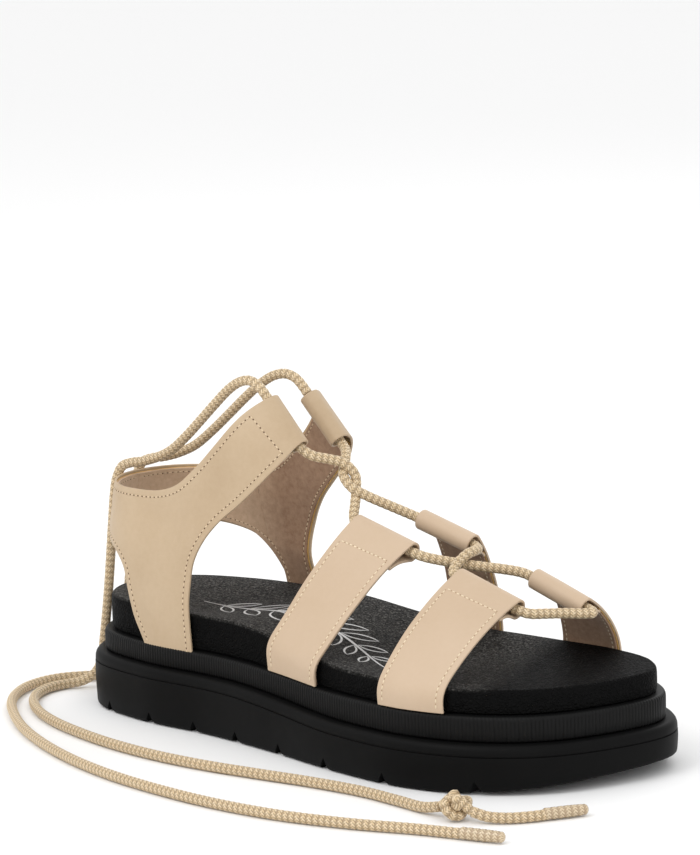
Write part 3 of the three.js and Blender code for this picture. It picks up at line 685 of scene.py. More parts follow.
def makeMidsole():
    length = routeLength(np.vstack([outlineFine, outlineFine[:1]])) + 2 * math.pi * soleSet["midsoleReach"]
    ribs = round(length / midsoleSet["ribPitch"])
    steps = ribs * midsoleSet["cornersPerRib"]
    rib = np.sin(math.pi * (np.arange(steps) / midsoleSet["cornersPerRib"] % 1)) ** 0.7
    reach = soleSet["midsoleReach"]

    def foot(x):
        return layerTop("outsoleTop", x) + soleSet["gap"]

    def below(drop):
        return lambda x: layerTop("midsoleTop", x) - drop

    def ribbed(inset, share=1.0):
        return reach - inset - midsoleSet["ribDepth"] * share * (1 - rib)

    rows = [(0.6, 0, foot), (1, reach - 1.0, foot), (1, ribbed(0.3, 0.6), lambda x: foot(x) + 0.1),
            (1, ribbed(0.05), lambda x: foot(x) + 0.6), (1, ribbed(0), below(4.2)), (1, ribbed(0), below(2.0)),
            (1, ribbed(0.12), below(1.15)), (1, ribbed(0.42, 0.9), below(0.55)), (1, ribbed(0.95, 0.6), below(0.16)),
            (1, ribbed(1.6, 0.2), below(0.0)), (1, reach - 2.4, below(0.0)), (0.6, 0, below(0.0)), (0.6, 0, foot)]
    midsole = gridPiece("midsole_band", soleGrid(rows, steps), closed=True)
    smooth(midsole, 60)
    settle(midsole, ribbedRubber, "midsole", "midsole")
    print("midsole done,", len(midsole.data.polygons), "faces")


footbedSet = {"steps": 360, "hollow": 0.8, "cup": 3.5, "cupEnds": (45, 100), "dish": 2.2, "dishStarts": (120, 175),
              "ridge": 0.9, "ridgeAt": 206, "ridgeWidth": 5.5, "toes": 0.5, "toesStart": (206, 222), "lean": 0.35,
              "seamAt": (252.5, 26.0), "seamDepth": 0.5, "seamWidth": 0.9}


def footbedHollow(x, share, y):
    # deeper towards the middle; the toes lie in a dish behind a low soft ridge
    cup = footbedSet["cup"] * (1 - smoothStep(x, *footbedSet["cupEnds"]))
    dish = footbedSet["dish"] * smoothStep(x, *footbedSet["dishStarts"])
    slope = 1 - smoothStep(share, 0.3, 0.97)
    skewed = x + footbedSet["lean"] * y
    ridge = (footbedSet["ridge"] * np.exp(-((skewed - footbedSet["ridgeAt"]) / footbedSet["ridgeWidth"]) ** 2)
             * (1 - smoothStep(share, 0.55, 0.9)))
    toes = footbedSet["toes"] * smoothStep(skewed, *footbedSet["toesStart"]) * (1 - smoothStep(share, 0.6, 0.95))
    return (footbedSet["hollow"] + cup + dish + toes) * slope - ridge


def footbedHeight(x, y):
    # height of the footbed's top under a spot
    centre = np.array(soleSet["centre"])
    way = np.stack([x - centre[0], y - centre[1]], -1)
    angle = np.arctan2(way[..., 1], way[..., 0])
    ring = outlineFine[:, :2] - centre
    ringAngle = np.arctan2(ring[:, 1], ring[:, 0])
    order = np.argsort(ringAngle)
    edge = np.interp(angle, ringAngle[order], np.linalg.norm(ring, axis=1)[order])
    share = np.linalg.norm(way, axis=-1) / edge
    return layerTop("footbedTop", x) - footbedHollow(x, share, y)


def makeFootbed():
    edge, out = outlineSpots(footbedSet["steps"])
    centre = np.array([*soleSet["centre"], 0.0])

    def foot(x):
        return layerTop("midsoleTop", x) + soleSet["gap"]

    def below(drop):
        return lambda x: layerTop("footbedTop", x) - drop

    rows = [(0.0, 0, foot), (0.6, 0, foot), (1, -1.2, foot), (1, -0.35, lambda x: foot(x) + 0.25),
            (1, -0.05, lambda x: foot(x) + 1.0), (1, 0.0, lambda x: (foot(x) + layerTop("footbedTop", x)) / 2),
            (1, -0.05, below(2.2)), (1, -0.12, below(1.3)), (1, -0.35, below(0.65)), (1, -0.75, below(0.22)),
            (1, -1.3, below(0.0))]
    grid = soleGrid(rows, footbedSet["steps"])[:-1]
    inwards = np.concatenate([np.linspace(0.985, 0.2, 34), [0.1, 0.0]])
    rings = []
    for share in inwards:
        ring = centre + (edge - centre) * share
        ring[:, 2] = layerTop("footbedTop", ring[:, 0]) - footbedHollow(ring[:, 0], share, ring[:, 1])
        rings.append(ring)
    grid = np.concatenate([grid, np.stack(rings, 1)], 1)
    # the wrap's seam is a narrow valley down the side at the toe
    away = np.linalg.norm(edge[:, :2] - np.array(footbedSet["seamAt"]), axis=1)
    valley = footbedSet["seamDepth"] * np.exp(-(away / footbedSet["seamWidth"]) ** 2)
    grid[:, 3:10] -= (out * valley[:, None])[:, None]
    footbed = gridPiece("footbed_body", np.concatenate([grid, grid[:1]], 0), closed=True)
    smooth(footbed, 50)
    settle(footbed, footbedSkin, "footbed", "footbed")
    print("footbed done,", len(footbed.data.polygons), "faces")


# a plain leaf sprig is printed on the footbed
sprigSet = {"width": 1.1, "lift": 0.07, "stem": [[46, -5], [68, -5], [92, -5], [116, -9], [140, -18], [168, -33]],
            "leaves": 8, "leafLength": 22.0, "lean": 38, "belly": [0.0, 0.13, 0.17, 0.12, 0.0],
            "bellyAt": (0, 0.25, 0.5, 0.78, 1.0)}


def printedStroke(name, line, width):
    fine = alongRoute([[x, y, 0] for x, y in line], max(int(routeLength(np.array(line, float)) / 1.2), 6))
    way = unit(np.gradient(fine, axis=0))
    side = np.stack([-way[:, 1], way[:, 0], np.zeros(len(fine))], 1)
    share = np.linspace(0, 1, len(fine))
    half = width / 2 * np.sqrt(np.clip(np.sin(math.pi * np.clip(share, 0.02, 0.98)), 0.06, 1))
    spots = np.stack([fine - side * half[:, None], fine, fine + side * half[:, None]], 0)
    spots[..., 2] = footbedHeight(spots[..., 0], spots[..., 1]) + sprigSet["lift"]
    stroke = gridPiece(name, spots)
    turnTo(stroke, fine[len(fine) // 2], (0, 0, 1.0))
    return stroke


def makeSprig():
    stem = alongRoute([[x, y, 0] for x, y in sprigSet["stem"]], 120)
    strokes = [printedStroke("stem", sprigSet["stem"], sprigSet["width"] * 1.2)]
    for i in range(sprigSet["leaves"]):
        at = 10 + int(i * 100 / sprigSet["leaves"])
        root, way = stem[at], unit(stem[at + 1] - stem[at - 1])
        for sign in (-1, 1):
            size = sprigSet["leafLength"] * (1 - 0.45 * abs(i / (sprigSet["leaves"] - 1) - 0.4) * 2)
            lean = math.radians(sprigSet["lean"] * sign)
            axis = np.array([way[0] * math.cos(lean) - way[1] * math.sin(lean),
                             way[0] * math.sin(lean) + way[1] * math.cos(lean)])
            across = np.array([-axis[1], axis[0]])
            foot = root[:2] + axis * 1.5
            for bow in (-1, 1):
                leaf = [foot + axis * size * s + across * bow * size * b
                        for s, b in zip(sprigSet["bellyAt"], sprigSet["belly"])]
                strokes.append(printedStroke("leaf", [p.tolist() for p in leaf], sprigSet["width"] * 0.8))
    sprig = joined("printed_sprig", strokes)
    modify(sprig, "SOLIDIFY", thickness=0.0001, offset=-1)
    settle(sprig, printSkin, "footbed")
    print("sprig printed,", len(strokes), "strokes")


makeOutsole()
makeMidsole()
makeFootbed()
makeSprig()


# the upper is leather over a thin gilt core and a suede lining, folded into lace tunnels
upperSet = {
    "leather": 1.0,
    "core": 0.28,
    "lining": 0.75,
    "foldRadius": 4.1,
    "foldTurn": 215.0,
    "flapDown": 11.6,
    "flapSeam": 2.2,
    "clearance": 0.5,
    "wall": 2.0,
    "edgeRound": 0.22,
    "flapDrawn": 1.3,
    "layerGap": 0.02,
    "coreInset": 0.6,
    "liningInset": 1.0,
}
strapSet = {
    "instep_strap_outer": {"side": outer, "base": (113, 143), "foldSide": 11, "fullness": 1.28,
                           "back": (132, 88), "front": (160.8, 80.5)},
    "instep_strap_inner": {"side": inner, "base": (139, 163), "foldSide": 16, "fullness": 1.5,
                           "back": (147.8, 88.1), "front": (173.5, 81)},
    "toe_strap_outer": {"side": outer, "base": (180, 210), "foldSide": 11, "fullness": 1.38,
                        "back": (184.5, 73.7), "front": (213.5, 65)},
    "toe_strap_inner": {"side": inner, "base": (193, 222), "foldSide": 16, "fullness": 1.6,
                        "back": (203.5, 71.5), "front": (228, 63)},
}


strapShape = {"softBend": 20.0, "proud": 1.3, "proudReach": 8.0, "crownInset": 13.0, "upright": 0.25, "lean": 1.2,
              "fineSteps": 260, "columns": 33, "rows": 84, "wave": 0.16}


def strapSpots(strap, across, rows):
    # foot side of one strap: upright beside the footbed, then over the foot to the tunnel
    fineSteps, upright = strapShape["fineSteps"], strapShape["upright"]
    u, v = across[:, None], np.linspace(0, 1, fineSteps)[None, :]
    side, fullness, inset = strap["side"], strap["fullness"], strapShape["crownInset"]
    baseX = strap["base"][0] + (strap["base"][1] - strap["base"][0]) * u
    foldX = strap["back"][0] + (strap["front"][0] - strap["back"][0]) * u
    foldZ = strap["back"][1] + (strap["front"][1] - strap["back"][1]) * u
    wallSide = halfWidth(baseX, side) + upperSet["clearance"] + upperSet["wall"]
    hem = layerTop("midsoleTop", baseX) + soleSet["gap"]
    shoulder = layerTop("footbedTop", baseX) - 2
    crown = strap["foldSide"] - inset
    reach = wallSide - crown
    foldReach = inset / reach
    rise = (foldZ - shoulder) / (1 - foldReach ** fullness) ** (1 / fullness)
    over = np.clip((v - upright) / (1 - upright), 0, 1)
    turn = over * np.arccos(foldReach ** (fullness / 2))
    x = baseX + (foldX - baseX) * over ** strapShape["lean"]
    y = crown + reach * np.cos(turn) ** (2 / fullness)
    z = np.where(v < upright, hem + (shoulder - hem) * np.minimum(v / upright, 1),
                 shoulder + rise * np.sin(turn) ** (2 / fullness))
    lines = [softened(evenSteps(line, fineSteps), strapShape["softBend"]) for line in np.stack([x, side * y, z], -1)]
    spots = np.stack([evenSteps(line, rows) for line in lines])
    proud = strapShape["proud"] * np.exp(-((spots[..., 2] - shoulder) / strapShape["proudReach"]) ** 2)
    spots[..., 1] += side * proud
    return spots


def softened(line, reach):
    # bends spread over a length of the line, its two ends kept
    half = int(reach / 2 / np.linalg.norm(np.diff(line, axis=0), axis=1).mean())
    padded = np.vstack([2 * line[0] - line[half:0:-1], line, 2 * line[-1] - line[-2:-half - 2:-1]])
    weights = np.hanning(2 * half + 3)[1:-1]
    return np.stack([np.convolve(padded[:, k], weights / weights.sum(), "valid") for k in range(3)], 1)


def evenSteps(line, steps):
    walked = distances(line)
    return onLine(np.linspace(0, walked[-1], steps), walked, line)


def gridNormals(spots, side):
    # ways out of a strap's wall, away from the foot
    normals = faceWays(spots)
    middle = normals[len(normals) // 2, len(normals[0]) // 3]
    return normals if middle[1] * side > 0 else -normals


def drawnIn(spots, first, last):
    # the sheet's two long edges drawn in by set distances, with its columns spaced evenly again
    drawn = np.empty_like(spots)
    first, last = np.broadcast_to(first, spots.shape[1]), np.broadcast_to(last, spots.shape[1])
    for row in range(spots.shape[1]):
        line = spots[:, row]
        walked = distances(line)
        wanted = np.interp(walked, [0, walked[-1]], [first[row], walked[-1] - last[row]])
        drawn[:, row] = onLine(wanted, walked, line)
    return drawn


def foldedRows(wall, normals, axis, flapDown):
    # rows that carry a wall on round its tunnel and back down to the flap's end, and the rows of that end and its seam
    radius, turn = upperSet["foldRadius"], math.radians(upperSet["foldTurn"])
    end = wall[:, -1]
    way = unit(axis[-1] - axis[0])
    out = end - axis
    out = unit(out - (out @ way)[:, None] * way)
    up = unit(np.cross(np.broadcast_to(way, out.shape), out))
    if ((end - wall[:, -2]) * up).sum() < 0:
        up = -up
    angles = np.linspace(0, turn, 22)[1:]
    arc = (axis[:, None] + radius * (np.cos(angles)[None, :, None] * out[:, None]
                                     + np.sin(angles)[None, :, None] * up[:, None]))
    walked = np.linalg.norm(np.diff(wall, axis=1), axis=2)[:, ::-1].cumsum(1)

    def rowDown(distance):
        return wall.shape[1] - 2 - int(np.argmax(walked.mean(0) > distance))

    flapRow, seamRow = rowDown(flapDown), rowDown(flapDown - upperSet["flapSeam"])
    depth = 2 * upperSet["leather"] + upperSet["core"] + 0.06
    target = wall[:, flapRow] - normals[:, flapRow] * depth
    shares = np.linspace(0, 1, 12)[1:, None]
    run = arc[:, -1:] + (target[:, None] - arc[:, -1:]) * shares[None]
    # the stitching draws the run in towards the wall
    run = run + (np.sin(math.pi * shares) * upperSet["flapDrawn"])[None] * out[:, None]
    return arc, run, flapRow, seamRow


def flapSeam(run, normals):
    # the line of the flap's stitches on the foot's side, and the way it faces
    way = faceWays(run)
    way = way if (way * normals[:, -1:]).sum() < 0 else -way
    return run[:, -3], way[:, -3]


def layerSheets(name, wall, normals, axis):
    # the leather is cut a little wider than the core and the lining, so its rim shows from inside
    leather, core, lining = upperSet["leather"], upperSet["core"], upperSet["lining"]
    arc, run, flapRow, seamRow = foldedRows(wall, normals, axis, upperSet["flapDown"])
    outside = np.concatenate([wall, arc, run], 1)
    look = normals[len(normals) // 2, 4]
    outerSheet = sheetPiece(name + "_leather", outside, leather, look)
    coreInset, liningInset = upperSet["coreInset"], upperSet["liningInset"]
    coreSpots = drawnIn(wall[:, :flapRow + 3] - normals[:, :flapRow + 3] * leather, coreInset, coreInset)
    coreSheet = sheetPiece(name + "_core", coreSpots, core, look, rounded=False)
    inside = wall[:, :flapRow + 1] - normals[:, :flapRow + 1] * (leather + core + upperSet["layerGap"])
    liningSheet = sheetPiece(name + "_lining", drawnIn(inside, liningInset, liningInset), lining, look)
    return outerSheet, coreSheet, liningSheet, (flapRow, seamRow, *flapSeam(run, normals))


def sheetPiece(name, spots, thickness, look, rounded=True):
    sheet = gridPiece(name, spots)
    turnTo(sheet, spots[len(spots) // 2, 3], look)
    finishSheet(sheet, thickness, rounded)
    return sheet


def finishSheet(sheet, thickness, rounded=True):
    modify(sheet, "SOLIDIFY", thickness=thickness * 0.001, offset=-1)
    if rounded:
        modify(sheet, "BEVEL", width=upperSet["edgeRound"] * 0.001, segments=2, limit_method="ANGLE",
               angle_limit=math.radians(55))
    smooth(sheet, 50)


stitchSet = {"pitch": 2.2, "length": 1.5, "width": 0.6, "height": 0.2, "inset": 2.7, "proud": 0.03, "hole": 0.34,
             "softHole": 0.24, "holeHeight": 0.12}


def blankShape(name, size):
    bpy.ops.object.select_all(action="DESELECT")
    bpy.ops.mesh.primitive_uv_sphere_add(segments=8, ring_count=5, radius=1)
    shape = bpy.context.active_object
    shape.name = name
    shape.scale = [s * mm for s in size]
    bpy.ops.object.transform_apply(location=False, rotation=False, scale=True)
    bpy.ops.object.shade_smooth()
    return shape


def stitchRow(line, out):
    # places and turns for stitches along a line on a surface
    walked = distances(line)
    count = max(int(walked[-1] / stitchSet["pitch"]), 1)
    wanted = (np.arange(count) + 0.5) * walked[-1] / count
    spots, outs = onLine(wanted, walked, line), unit(onLine(wanted, walked, out))
    ways = unit(onLine(wanted, walked, np.gradient(line, axis=0)))
    places = []
    for spot, up, way in zip(spots, outs, ways):
        side = np.cross(up, way)
        side = side / np.linalg.norm(side)
        way = np.cross(side, up)
        turn = Matrix((way, side, up)).transposed().to_4x4()
        places.append((spot, way, turn))
    return places


def sewn(name, rows, holeSize, holeShadeColour, threadColour):
    # a thread at each place, and a dark spot of painted shade for the needle hole half a pitch on
    thread = blankShape("thread", (stitchSet["length"] / 2, stitchSet["width"] / 2, stitchSet["height"]))
    hole = blankShape("hole", (holeSize, holeSize * 0.9, stitchSet["holeHeight"]))
    made = []
    for shape, shift in ((thread, 0.0), (hole, stitchSet["pitch"] / 2)):
        copies = []
        for row in rows:
            for spot, way, turn in row:
                copy = bpy.data.objects.new(shape.name, shape.data.copy())
                bpy.context.scene.collection.objects.link(copy)
                copy.data.transform(Matrix.Translation(Vector(toRow(spot + way * shift))) @ turn)
                copies.append(copy)
        made.append(joined(name + ("_stitches" if shape is thread else "_painted_hole_shades"), copies))
        bpy.data.objects.remove(shape)
    settle(made[0], threadColour, name)
    settle(made[1], holeShadeColour, name)


def makeStrap(name, strap):
    columns, rowCount, proud = strapShape["columns"], strapShape["rows"], stitchSet["proud"]
    across = np.linspace(0, 1, columns)
    wall = strapSpots(strap, across, rowCount)
    normals = gridNormals(wall, strap["side"])
    wave = strapShape["wave"] * np.sin(wall[..., 0] / 6.5 + wall[..., 2] / 9 + strap["side"]) * np.sin(wall[..., 2] / 7)
    wall = wall + normals * (wave * smoothStep(np.linspace(0, 1, rowCount), 0.1, 0.3))[..., None]
    axis = wall[:, -1] - normals[:, -1] * upperSet["foldRadius"]
    axis = axis[0] + (axis[-1] - axis[0]) * across[:, None]
    leather, core, lining, (flapRow, seamRow, seam, seamOut) = layerSheets(name, wall, normals, axis)
    settle(leather, leatherSkin, name, name)
    settle(core, edgeSkin, name)
    settle(lining, liningSkin, name)
    width = np.linalg.norm(wall[-1] - wall[0], axis=1).mean()
    inset = stitchSet["inset"] / width * (columns - 1)
    rows = []
    thickness = upperSet["leather"] + upperSet["core"] + upperSet["lining"]
    for depth, turn, end in ((-proud, 1, seamRow), (thickness - proud, -1, flapRow)):
        for column in (inset, columns - 1 - inset):
            low = int(column)
            share = column - low
            line = wall[low, 2:end] * (1 - share) + wall[low + 1, 2:end] * share
            out = normals[low, 2:end]
            rows.append(stitchRow(line - out * depth, out * turn))
    middle = slice(int(round(inset)), int(round(columns - 1 - inset)) + 1)
    rows.append(stitchRow(wall[middle, seamRow] + normals[middle, seamRow] * proud, normals[middle, seamRow]))
    rows.append(stitchRow(seam[middle] + seamOut[middle] * proud, seamOut[middle]))
    sewn(name, rows, stitchSet["softHole"], softHoleShadeSkin, softThreadSkin)
    print(name, "done")


# the heel quarter stands on a hull given by heights with the heel's place and the half width at each
ankleSet = {
    "rows": [20, 60, 72, 84, 94, 112, 125, 142],
    "back": [7, 5, 2, 3.5, 6, 12, 16, 20],
    "half": [34, 34, 33, 31, 30, 28, 26.5, 24],
    "arcAt": 36.0,
    "arcLength": 48.0,
    "noseAt": (111.8, 116, -0.9),
    "fullness": 3.0,
    "hugging": (44, 62),
    "front": {outer: [[67, 30], [66, 42], [65.3, 54], [66.8, 66], [71.5, 75.5], [78, 83.7], [88, 92],
                      [99, 101.2], [107.4, 109.9], [110.5, 115.8]],
              inner: [[72, 30], [71, 42], [70.6, 54], [71.8, 66], [75.6, 75.8], [81.3, 84], [89.6, 92.6],
                      [98.5, 101.5], [106, 111], [110.5, 115.8]]},
    "rear": {outer: [[40, 30], [33, 42], [30, 52], [27.5, 61], [20.5, 67], [8, 70.6], [-12, 71.6]],
             inner: [[59, 30], [55, 42], [53.2, 52], [49.4, 59.4], [41.5, 64.6], [31, 67.2], [19, 69], [-12, 71.6]]},
    "collar": [[-12, 93.2], [10, 93.1], [30, 92.8], [46, 93.4], [56.5, 96.5], [65, 102.5], [76, 113], [87, 125.5],
               [95, 132.6]],
    "joinAt": 3,
    "raised": {outer: (-1.5, 0.8), inner: (0, 0)},
    "raisedOver": (88, 114),
    "tunnel": {outer: [[90.8, -11.5, 130.9], [106.2, -11.7, 114.1]],
               inner: [[92.2, 10.6, 130], [107.6, 10.8, 113.2]]},
    "foldSide": {outer: 13.3, inner: 12.0},
    "rim": 0.35,
    "flapDown": {outer: 11.6, inner: 15.4},
}


def ankleSpots(s, z, side):
    # s runs along the foot and, behind the arc station, round the heel
    s, z = np.broadcast_arrays(np.asarray(s, float), np.asarray(z, float))
    back = softCurve(ankleSet["rows"], ankleSet["back"], z)
    half = softCurve(ankleSet["rows"], ankleSet["half"], z)
    noseX, noseZ, slope = ankleSet["noseAt"]
    nose = noseX + slope * (z - noseZ)
    arcAt = ankleSet["arcAt"]
    ahead = np.maximum(s, arcAt)
    share = np.clip((ahead - arcAt) / (nose - arcAt), 0, 0.999)
    free = half * (1 - share ** ankleSet["fullness"]) ** (1 / ankleSet["fullness"])
    hugged = halfWidth(ahead, side) + upperSet["clearance"] + upperSet["wall"]
    blend = smoothStep(z, *ankleSet["hugging"])
    width = hugged + (free - hugged) * blend
    turn = np.clip((arcAt - s) / ankleSet["arcLength"], 0, 1) * math.pi / 2
    x = np.where(s >= arcAt, s, arcAt - (arcAt - back) * np.sin(turn))
    return np.stack([x, side * width * np.cos(turn), z], -1)


def ankleNormals(s, z, side):
    step = 0.4
    alongWay = ankleSpots(s + step, z, side) - ankleSpots(s - step, z, side)
    upWay = ankleSpots(s, z + step, side) - ankleSpots(s, z - step, side)
    return unit(np.cross(alongWay, upWay)) * -side


def roundHeel(curve):
    # side-view distances behind the arc station become distances round the heel
    curve = np.array(curve, float)
    arcAt = ankleSet["arcAt"]
    behind = (curve[:, 0] < arcAt) & (curve[:, 0] > -11)
    back = softCurve(ankleSet["rows"], ankleSet["back"], curve[:, 1])
    sine = np.clip((arcAt - curve[:, 0]) / (arcAt - back), 0, 1)
    curve[behind, 0] = (arcAt - ankleSet["arcLength"] * np.arcsin(sine) / (math.pi / 2))[behind]
    return curve


def flatCurve(points, steps):
    return alongRoute([[x, z, 0] for x, z in points], steps)[:, :2]


def quarterCurves(side):
    # the outline's three long edges as (distance along the foot, height)
    def raised(curve):
        curve = np.array(curve, float)
        share = smoothStep(curve[:, 1], *ankleSet["raisedOver"])[:, None]
        return curve + share * ankleSet["raised"][side]

    return [raised(curve) for curve in (ankleSet["front"][side], ankleSet["rear"][side], ankleSet["collar"])]


def splitCurve(points, at):
    fine = flatCurve(points, 900)
    cut = int(np.argmin(np.linalg.norm(fine - points[at], axis=1)))
    return fine, fine[:cut + 1], fine[cut:]


quarterCells = {"leg": 34, "join": 34, "arm": 60, "across": 34, "back": 54}


def quarterPatches(side):
    # a ribbon from the sole up to the tunnel, and a strap from it round the heel
    front, rear, collar = quarterCurves(side)
    leg, join, arm = quarterCells["leg"], quarterCells["join"], quarterCells["arm"]
    frontFine = flatCurve(front, 900)
    rearFine, rearPart, underPart = splitCurve(roundHeel(rear), ankleSet["joinAt"])
    collarFine, backPart, collarPart = splitCurve(roundHeel(collar), ankleSet["joinAt"])
    breaks = [0, *(int(np.argmin(np.abs(frontFine[:, 1] - z))) for z in (60, 84)), len(frontFine) - 1]
    frontRows = np.vstack([evenFlat(frontFine[a:b + 1], cells + 1)[:-1]
                           for a, b, cells in zip(breaks, breaks[1:], (leg, join, arm))] + [frontFine[-1:]])
    joinLine = rearPart[-1] + (collarPart[0] - rearPart[-1]) * np.linspace(0, 1, join + 1)[:, None]
    backRows = np.vstack([evenFlat(rearPart, leg + 1)[:-1], joinLine[:-1], evenFlat(collarPart, arm + 1)])
    shares = np.linspace(0, 1, quarterCells["across"] + 1)[:, None, None]
    ribbon = backRows[None] * (1 - shares) + frontRows[None] * shares
    low, high = evenFlat(underPart, quarterCells["back"] + 1), evenFlat(backPart[::-1], quarterCells["back"] + 1)
    shares = np.linspace(0, 1, join + 1)[:, None, None]
    strap = low[None] * (1 - shares) + high[None] * shares
    strap[:, 0] = joinLine
    return ribbon, strap, (frontFine[::-1], rearFine, collarFine)


def evenFlat(line, steps):
    return evenSteps(np.column_stack([line, np.zeros(len(line))]), steps)[:, :2]


def quarterWave(spots):
    # the leather's soft hollows round the ankle bone and down the leg
    x, y, z = spots[..., 0], spots[..., 1], spots[..., 2]
    return (0.48 * np.sin(x / 7.5 + z / 16) * np.sin(z / 13 + 1) + 0.34 * np.sin(z / 5.5 - x / 14)
            * np.exp(-((x - 72) / 16) ** 2)) * smoothStep(z, 46, 60)


def onHull(flat, side):
    # spots and ways out for points of the outline's plane, with the leather's waves
    spots, out = ankleSpots(flat[..., 0], flat[..., 1], side), ankleNormals(flat[..., 0], flat[..., 1], side)
    return spots + out * quarterWave(spots)[..., None], out


def ledToTunnel(wall, ribbon, side):
    # the last rows lead into the tunnel's top line
    share = np.linspace(0, 1, len(wall))
    (backX, backZ), (frontX, frontZ) = ribbon[0, -1], ribbon[-1, -1]
    end = np.column_stack([backX + (frontX - backX) * share, np.full(len(wall), side * ankleSet["foldSide"][side]),
                           backZ + (frontZ - backZ) * share])
    lead = smoothStep(np.linspace(0, 1, wall.shape[1]), 0.72, 1)[None, :, None]
    return wall + (end - wall[:, -1])[:, None] * lead


def makeQuarter():
    name = "heel_quarter"
    leather, core, lining = upperSet["leather"], upperSet["core"], upperSet["lining"]
    rim, proud = ankleSet["rim"], stitchSet["proud"]
    sheets = {"leather": [], "core": [], "lining": []}
    rows = []
    for side in (outer, inner):
        ribbon, strap, edges = quarterPatches(side)
        wall, hullOut = onHull(ribbon, side)
        band, bandOut = onHull(strap, side)
        wall = ledToTunnel(wall, ribbon, side)
        out = faceWays(wall)
        out = out if out[5, 5] @ hullOut[5, 5] > 0 else -out
        first, last = np.array(ankleSet["tunnel"][side])
        axis = first + (last - first) * np.linspace(0, 1, len(wall))[:, None]
        arc, run, flapRow, seamRow = foldedRows(wall, out, axis, ankleSet["flapDown"][side])
        look, bandLook = out[10, 10], bandOut[10, 10]
        sheets["leather"] += [oriented(np.concatenate([wall, arc, run], 1), look), oriented(band, bandLook)]
        coreWall, coreBand = trimmed(wall - out * leather, band - bandOut * leather, upperSet["coreInset"] + rim,
                                     upperSet["liningInset"])
        sheets["core"] += [oriented(coreWall[:, :flapRow + 3], look), oriented(coreBand, bandLook)]
        under = leather + core + upperSet["layerGap"]
        liningWall, liningBand = trimmed(wall - out * under, band - bandOut * under, upperSet["liningInset"] + rim,
                                         upperSet["liningInset"])
        sheets["lining"] += [oriented(liningWall[:, :flapRow + 1], look), oriented(liningBand, bandLook)]
        rows += quarterStitches(edges, (ribbon, wall, out), (strap, band, bandOut), flapRow, seamRow)
        seam, seamOut = flapSeam(run, out)
        rows.append(stitchRow(seam[3:-3] + seamOut[3:-3] * proud, seamOut[3:-3]))
    for kind, skin, depth in (("leather", quarterSkin, leather), ("core", edgeSkin, core),
                              ("lining", liningSkin, lining)):
        sheet = joined(name + "_" + kind, sheets[kind])
        inEditMode(sheet, lambda: bpy.ops.mesh.remove_doubles(threshold=3e-5))
        finishSheet(sheet, depth, kind != "core")
        settle(sheet, skin, name, *([name] if kind == "leather" else []))
    sewn(name, rows, stitchSet["hole"], holeShadeSkin, threadSkin)
    print("heel quarter done")


def trimmed(wall, band, inset, bandInset):
    # long edges drawn in, but not where the ribbon and the band round the heel join
    row, leg, join = np.arange(wall.shape[1]), quarterCells["leg"], quarterCells["join"]
    away = smoothStep(np.maximum(leg - row, row - leg - join), 0, 14)
    apart = bandInset * smoothStep(np.arange(band.shape[1]), 0, 10)
    return drawnIn(wall, inset * away, inset), drawnIn(band, apart, apart)


def oriented(spots, look):
    sheet = gridPiece("part", spots)
    turnTo(sheet, spots[10, 10], look)
    return sheet


def onSheet(points, sheets):
    # spots and outward ways on the sheets for points of the outline's plane, and the row each lies on
    spots, outs, rows = [], [], []
    for point in points:
        gaps = [((flat - point) ** 2).sum(-1) for flat, _, _ in sheets]
        which = int(np.argmin([gap.min() for gap in gaps]))
        flat, wall, out = sheets[which]
        i, j = np.unravel_index(int(gaps[which].argmin()), flat.shape[:2])
        i, j = min(max(i, 1), flat.shape[0] - 2), min(max(j, 1), flat.shape[1] - 2)
        across, along = (flat[i + 1, j] - flat[i - 1, j]) / 2, (flat[i, j + 1] - flat[i, j - 1]) / 2
        du, dv = np.linalg.solve(np.column_stack([across, along]), point - flat[i, j])
        spots.append(wall[i, j] + du * (wall[i + 1, j] - wall[i - 1, j]) / 2
                     + dv * (wall[i, j + 1] - wall[i, j - 1]) / 2)
        outs.append(out[i, j])
        rows.append(j + dv if which == 0 else -1)
    return np.array(spots), np.array(outs), np.array(rows)


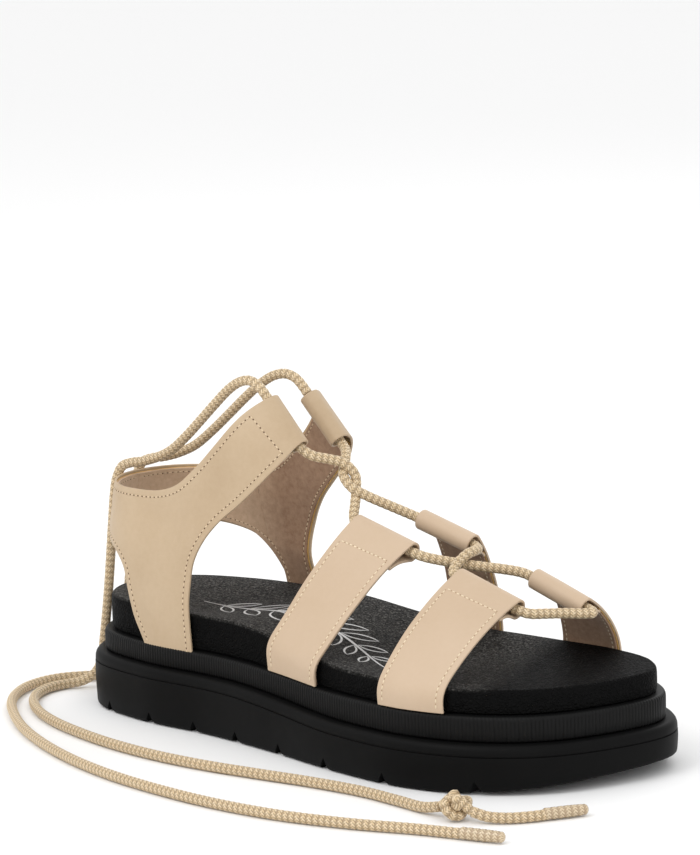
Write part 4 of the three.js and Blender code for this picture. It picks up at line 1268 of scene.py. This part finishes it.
def quarterStitches(edges, ribbon, band, flapRow, seamRow):
    # one unbroken line inside each long edge, and one across the flap
    thickness, proud = upperSet["leather"] + upperSet["core"] + upperSet["lining"], stitchSet["proud"]
    rows = []
    for edge in edges:
        way = unit(np.gradient(edge, axis=0))
        inset = edge + np.column_stack([way[:, 1], -way[:, 0]]) * stitchSet["inset"]
        line, face, row = onSheet(inset[8:-2:3], (ribbon, band))
        sewnOut, sewnIn = row < seamRow, row < flapRow
        rows.append(stitchRow(line[sewnOut] + face[sewnOut] * proud, face[sewnOut]))
        rows.append(stitchRow(line[sewnIn] - face[sewnIn] * (thickness - proud), -face[sewnIn]))
    _, wall, out = ribbon
    ending, endOut = wall[3:-3, seamRow], out[3:-3, seamRow]
    rows.append(stitchRow(ending + endOut * proud, endOut))
    return rows


for strapName, strap in strapSet.items():
    makeStrap(strapName, strap)
makeQuarter()


lightSet = {
    "worldColour": (1, 1, 1, 1),
    "worldStrength": 1.0,
    "floor": (0.93, 0.93, 0.93, 1),
    "aim": (0.0, 0.0, 0.05),
    "lamps": {
        "key_light": {"place": (-0.2, -1.1, 1.3), "size": 0.9, "power": 7},
        "fill_light": {"place": (1.5, -0.5, 0.9), "size": 1.2, "power": 2},
        "rim_light": {"place": (-0.3, 1.3, 1.1), "size": 0.9, "power": 3},
    },
}


def addLight(name, place, size, power):
    data = bpy.data.lights.new(name, "AREA")
    data.shape, data.size, data.energy = "DISK", size, power
    light = bpy.data.objects.new(name, data)
    bpy.context.scene.collection.objects.link(light)
    place, aim = Vector(place), Vector(lightSet["aim"])
    light.matrix_world = Matrix.Translation(place) @ (place - aim).to_track_quat("Z", "Y").to_matrix().to_4x4()


def addStage():
    bpy.ops.object.select_all(action="DESELECT")
    bpy.ops.mesh.primitive_plane_add(size=40, location=(0, 0, -0.0002))
    floor = bpy.context.active_object
    floor.name = "floor"
    n = Nodes("pale_floor")
    floor.data.materials.append(n.finish(lightSet["floor"], 0.9, Specular_IOR_Level=0.1))
    world = bpy.context.scene.world or bpy.data.worlds.new("studio")
    bpy.context.scene.world = world
    world.use_nodes = True
    sky = world.node_tree.nodes["Background"]
    sky.inputs["Color"].default_value = lightSet["worldColour"]
    sky.inputs["Strength"].default_value = lightSet["worldStrength"]
    for name, lamp in lightSet["lamps"].items():
        addLight(name, **lamp)
    bpy.context.scene.view_settings.view_transform = "Standard"


addStage()
print("stage set")
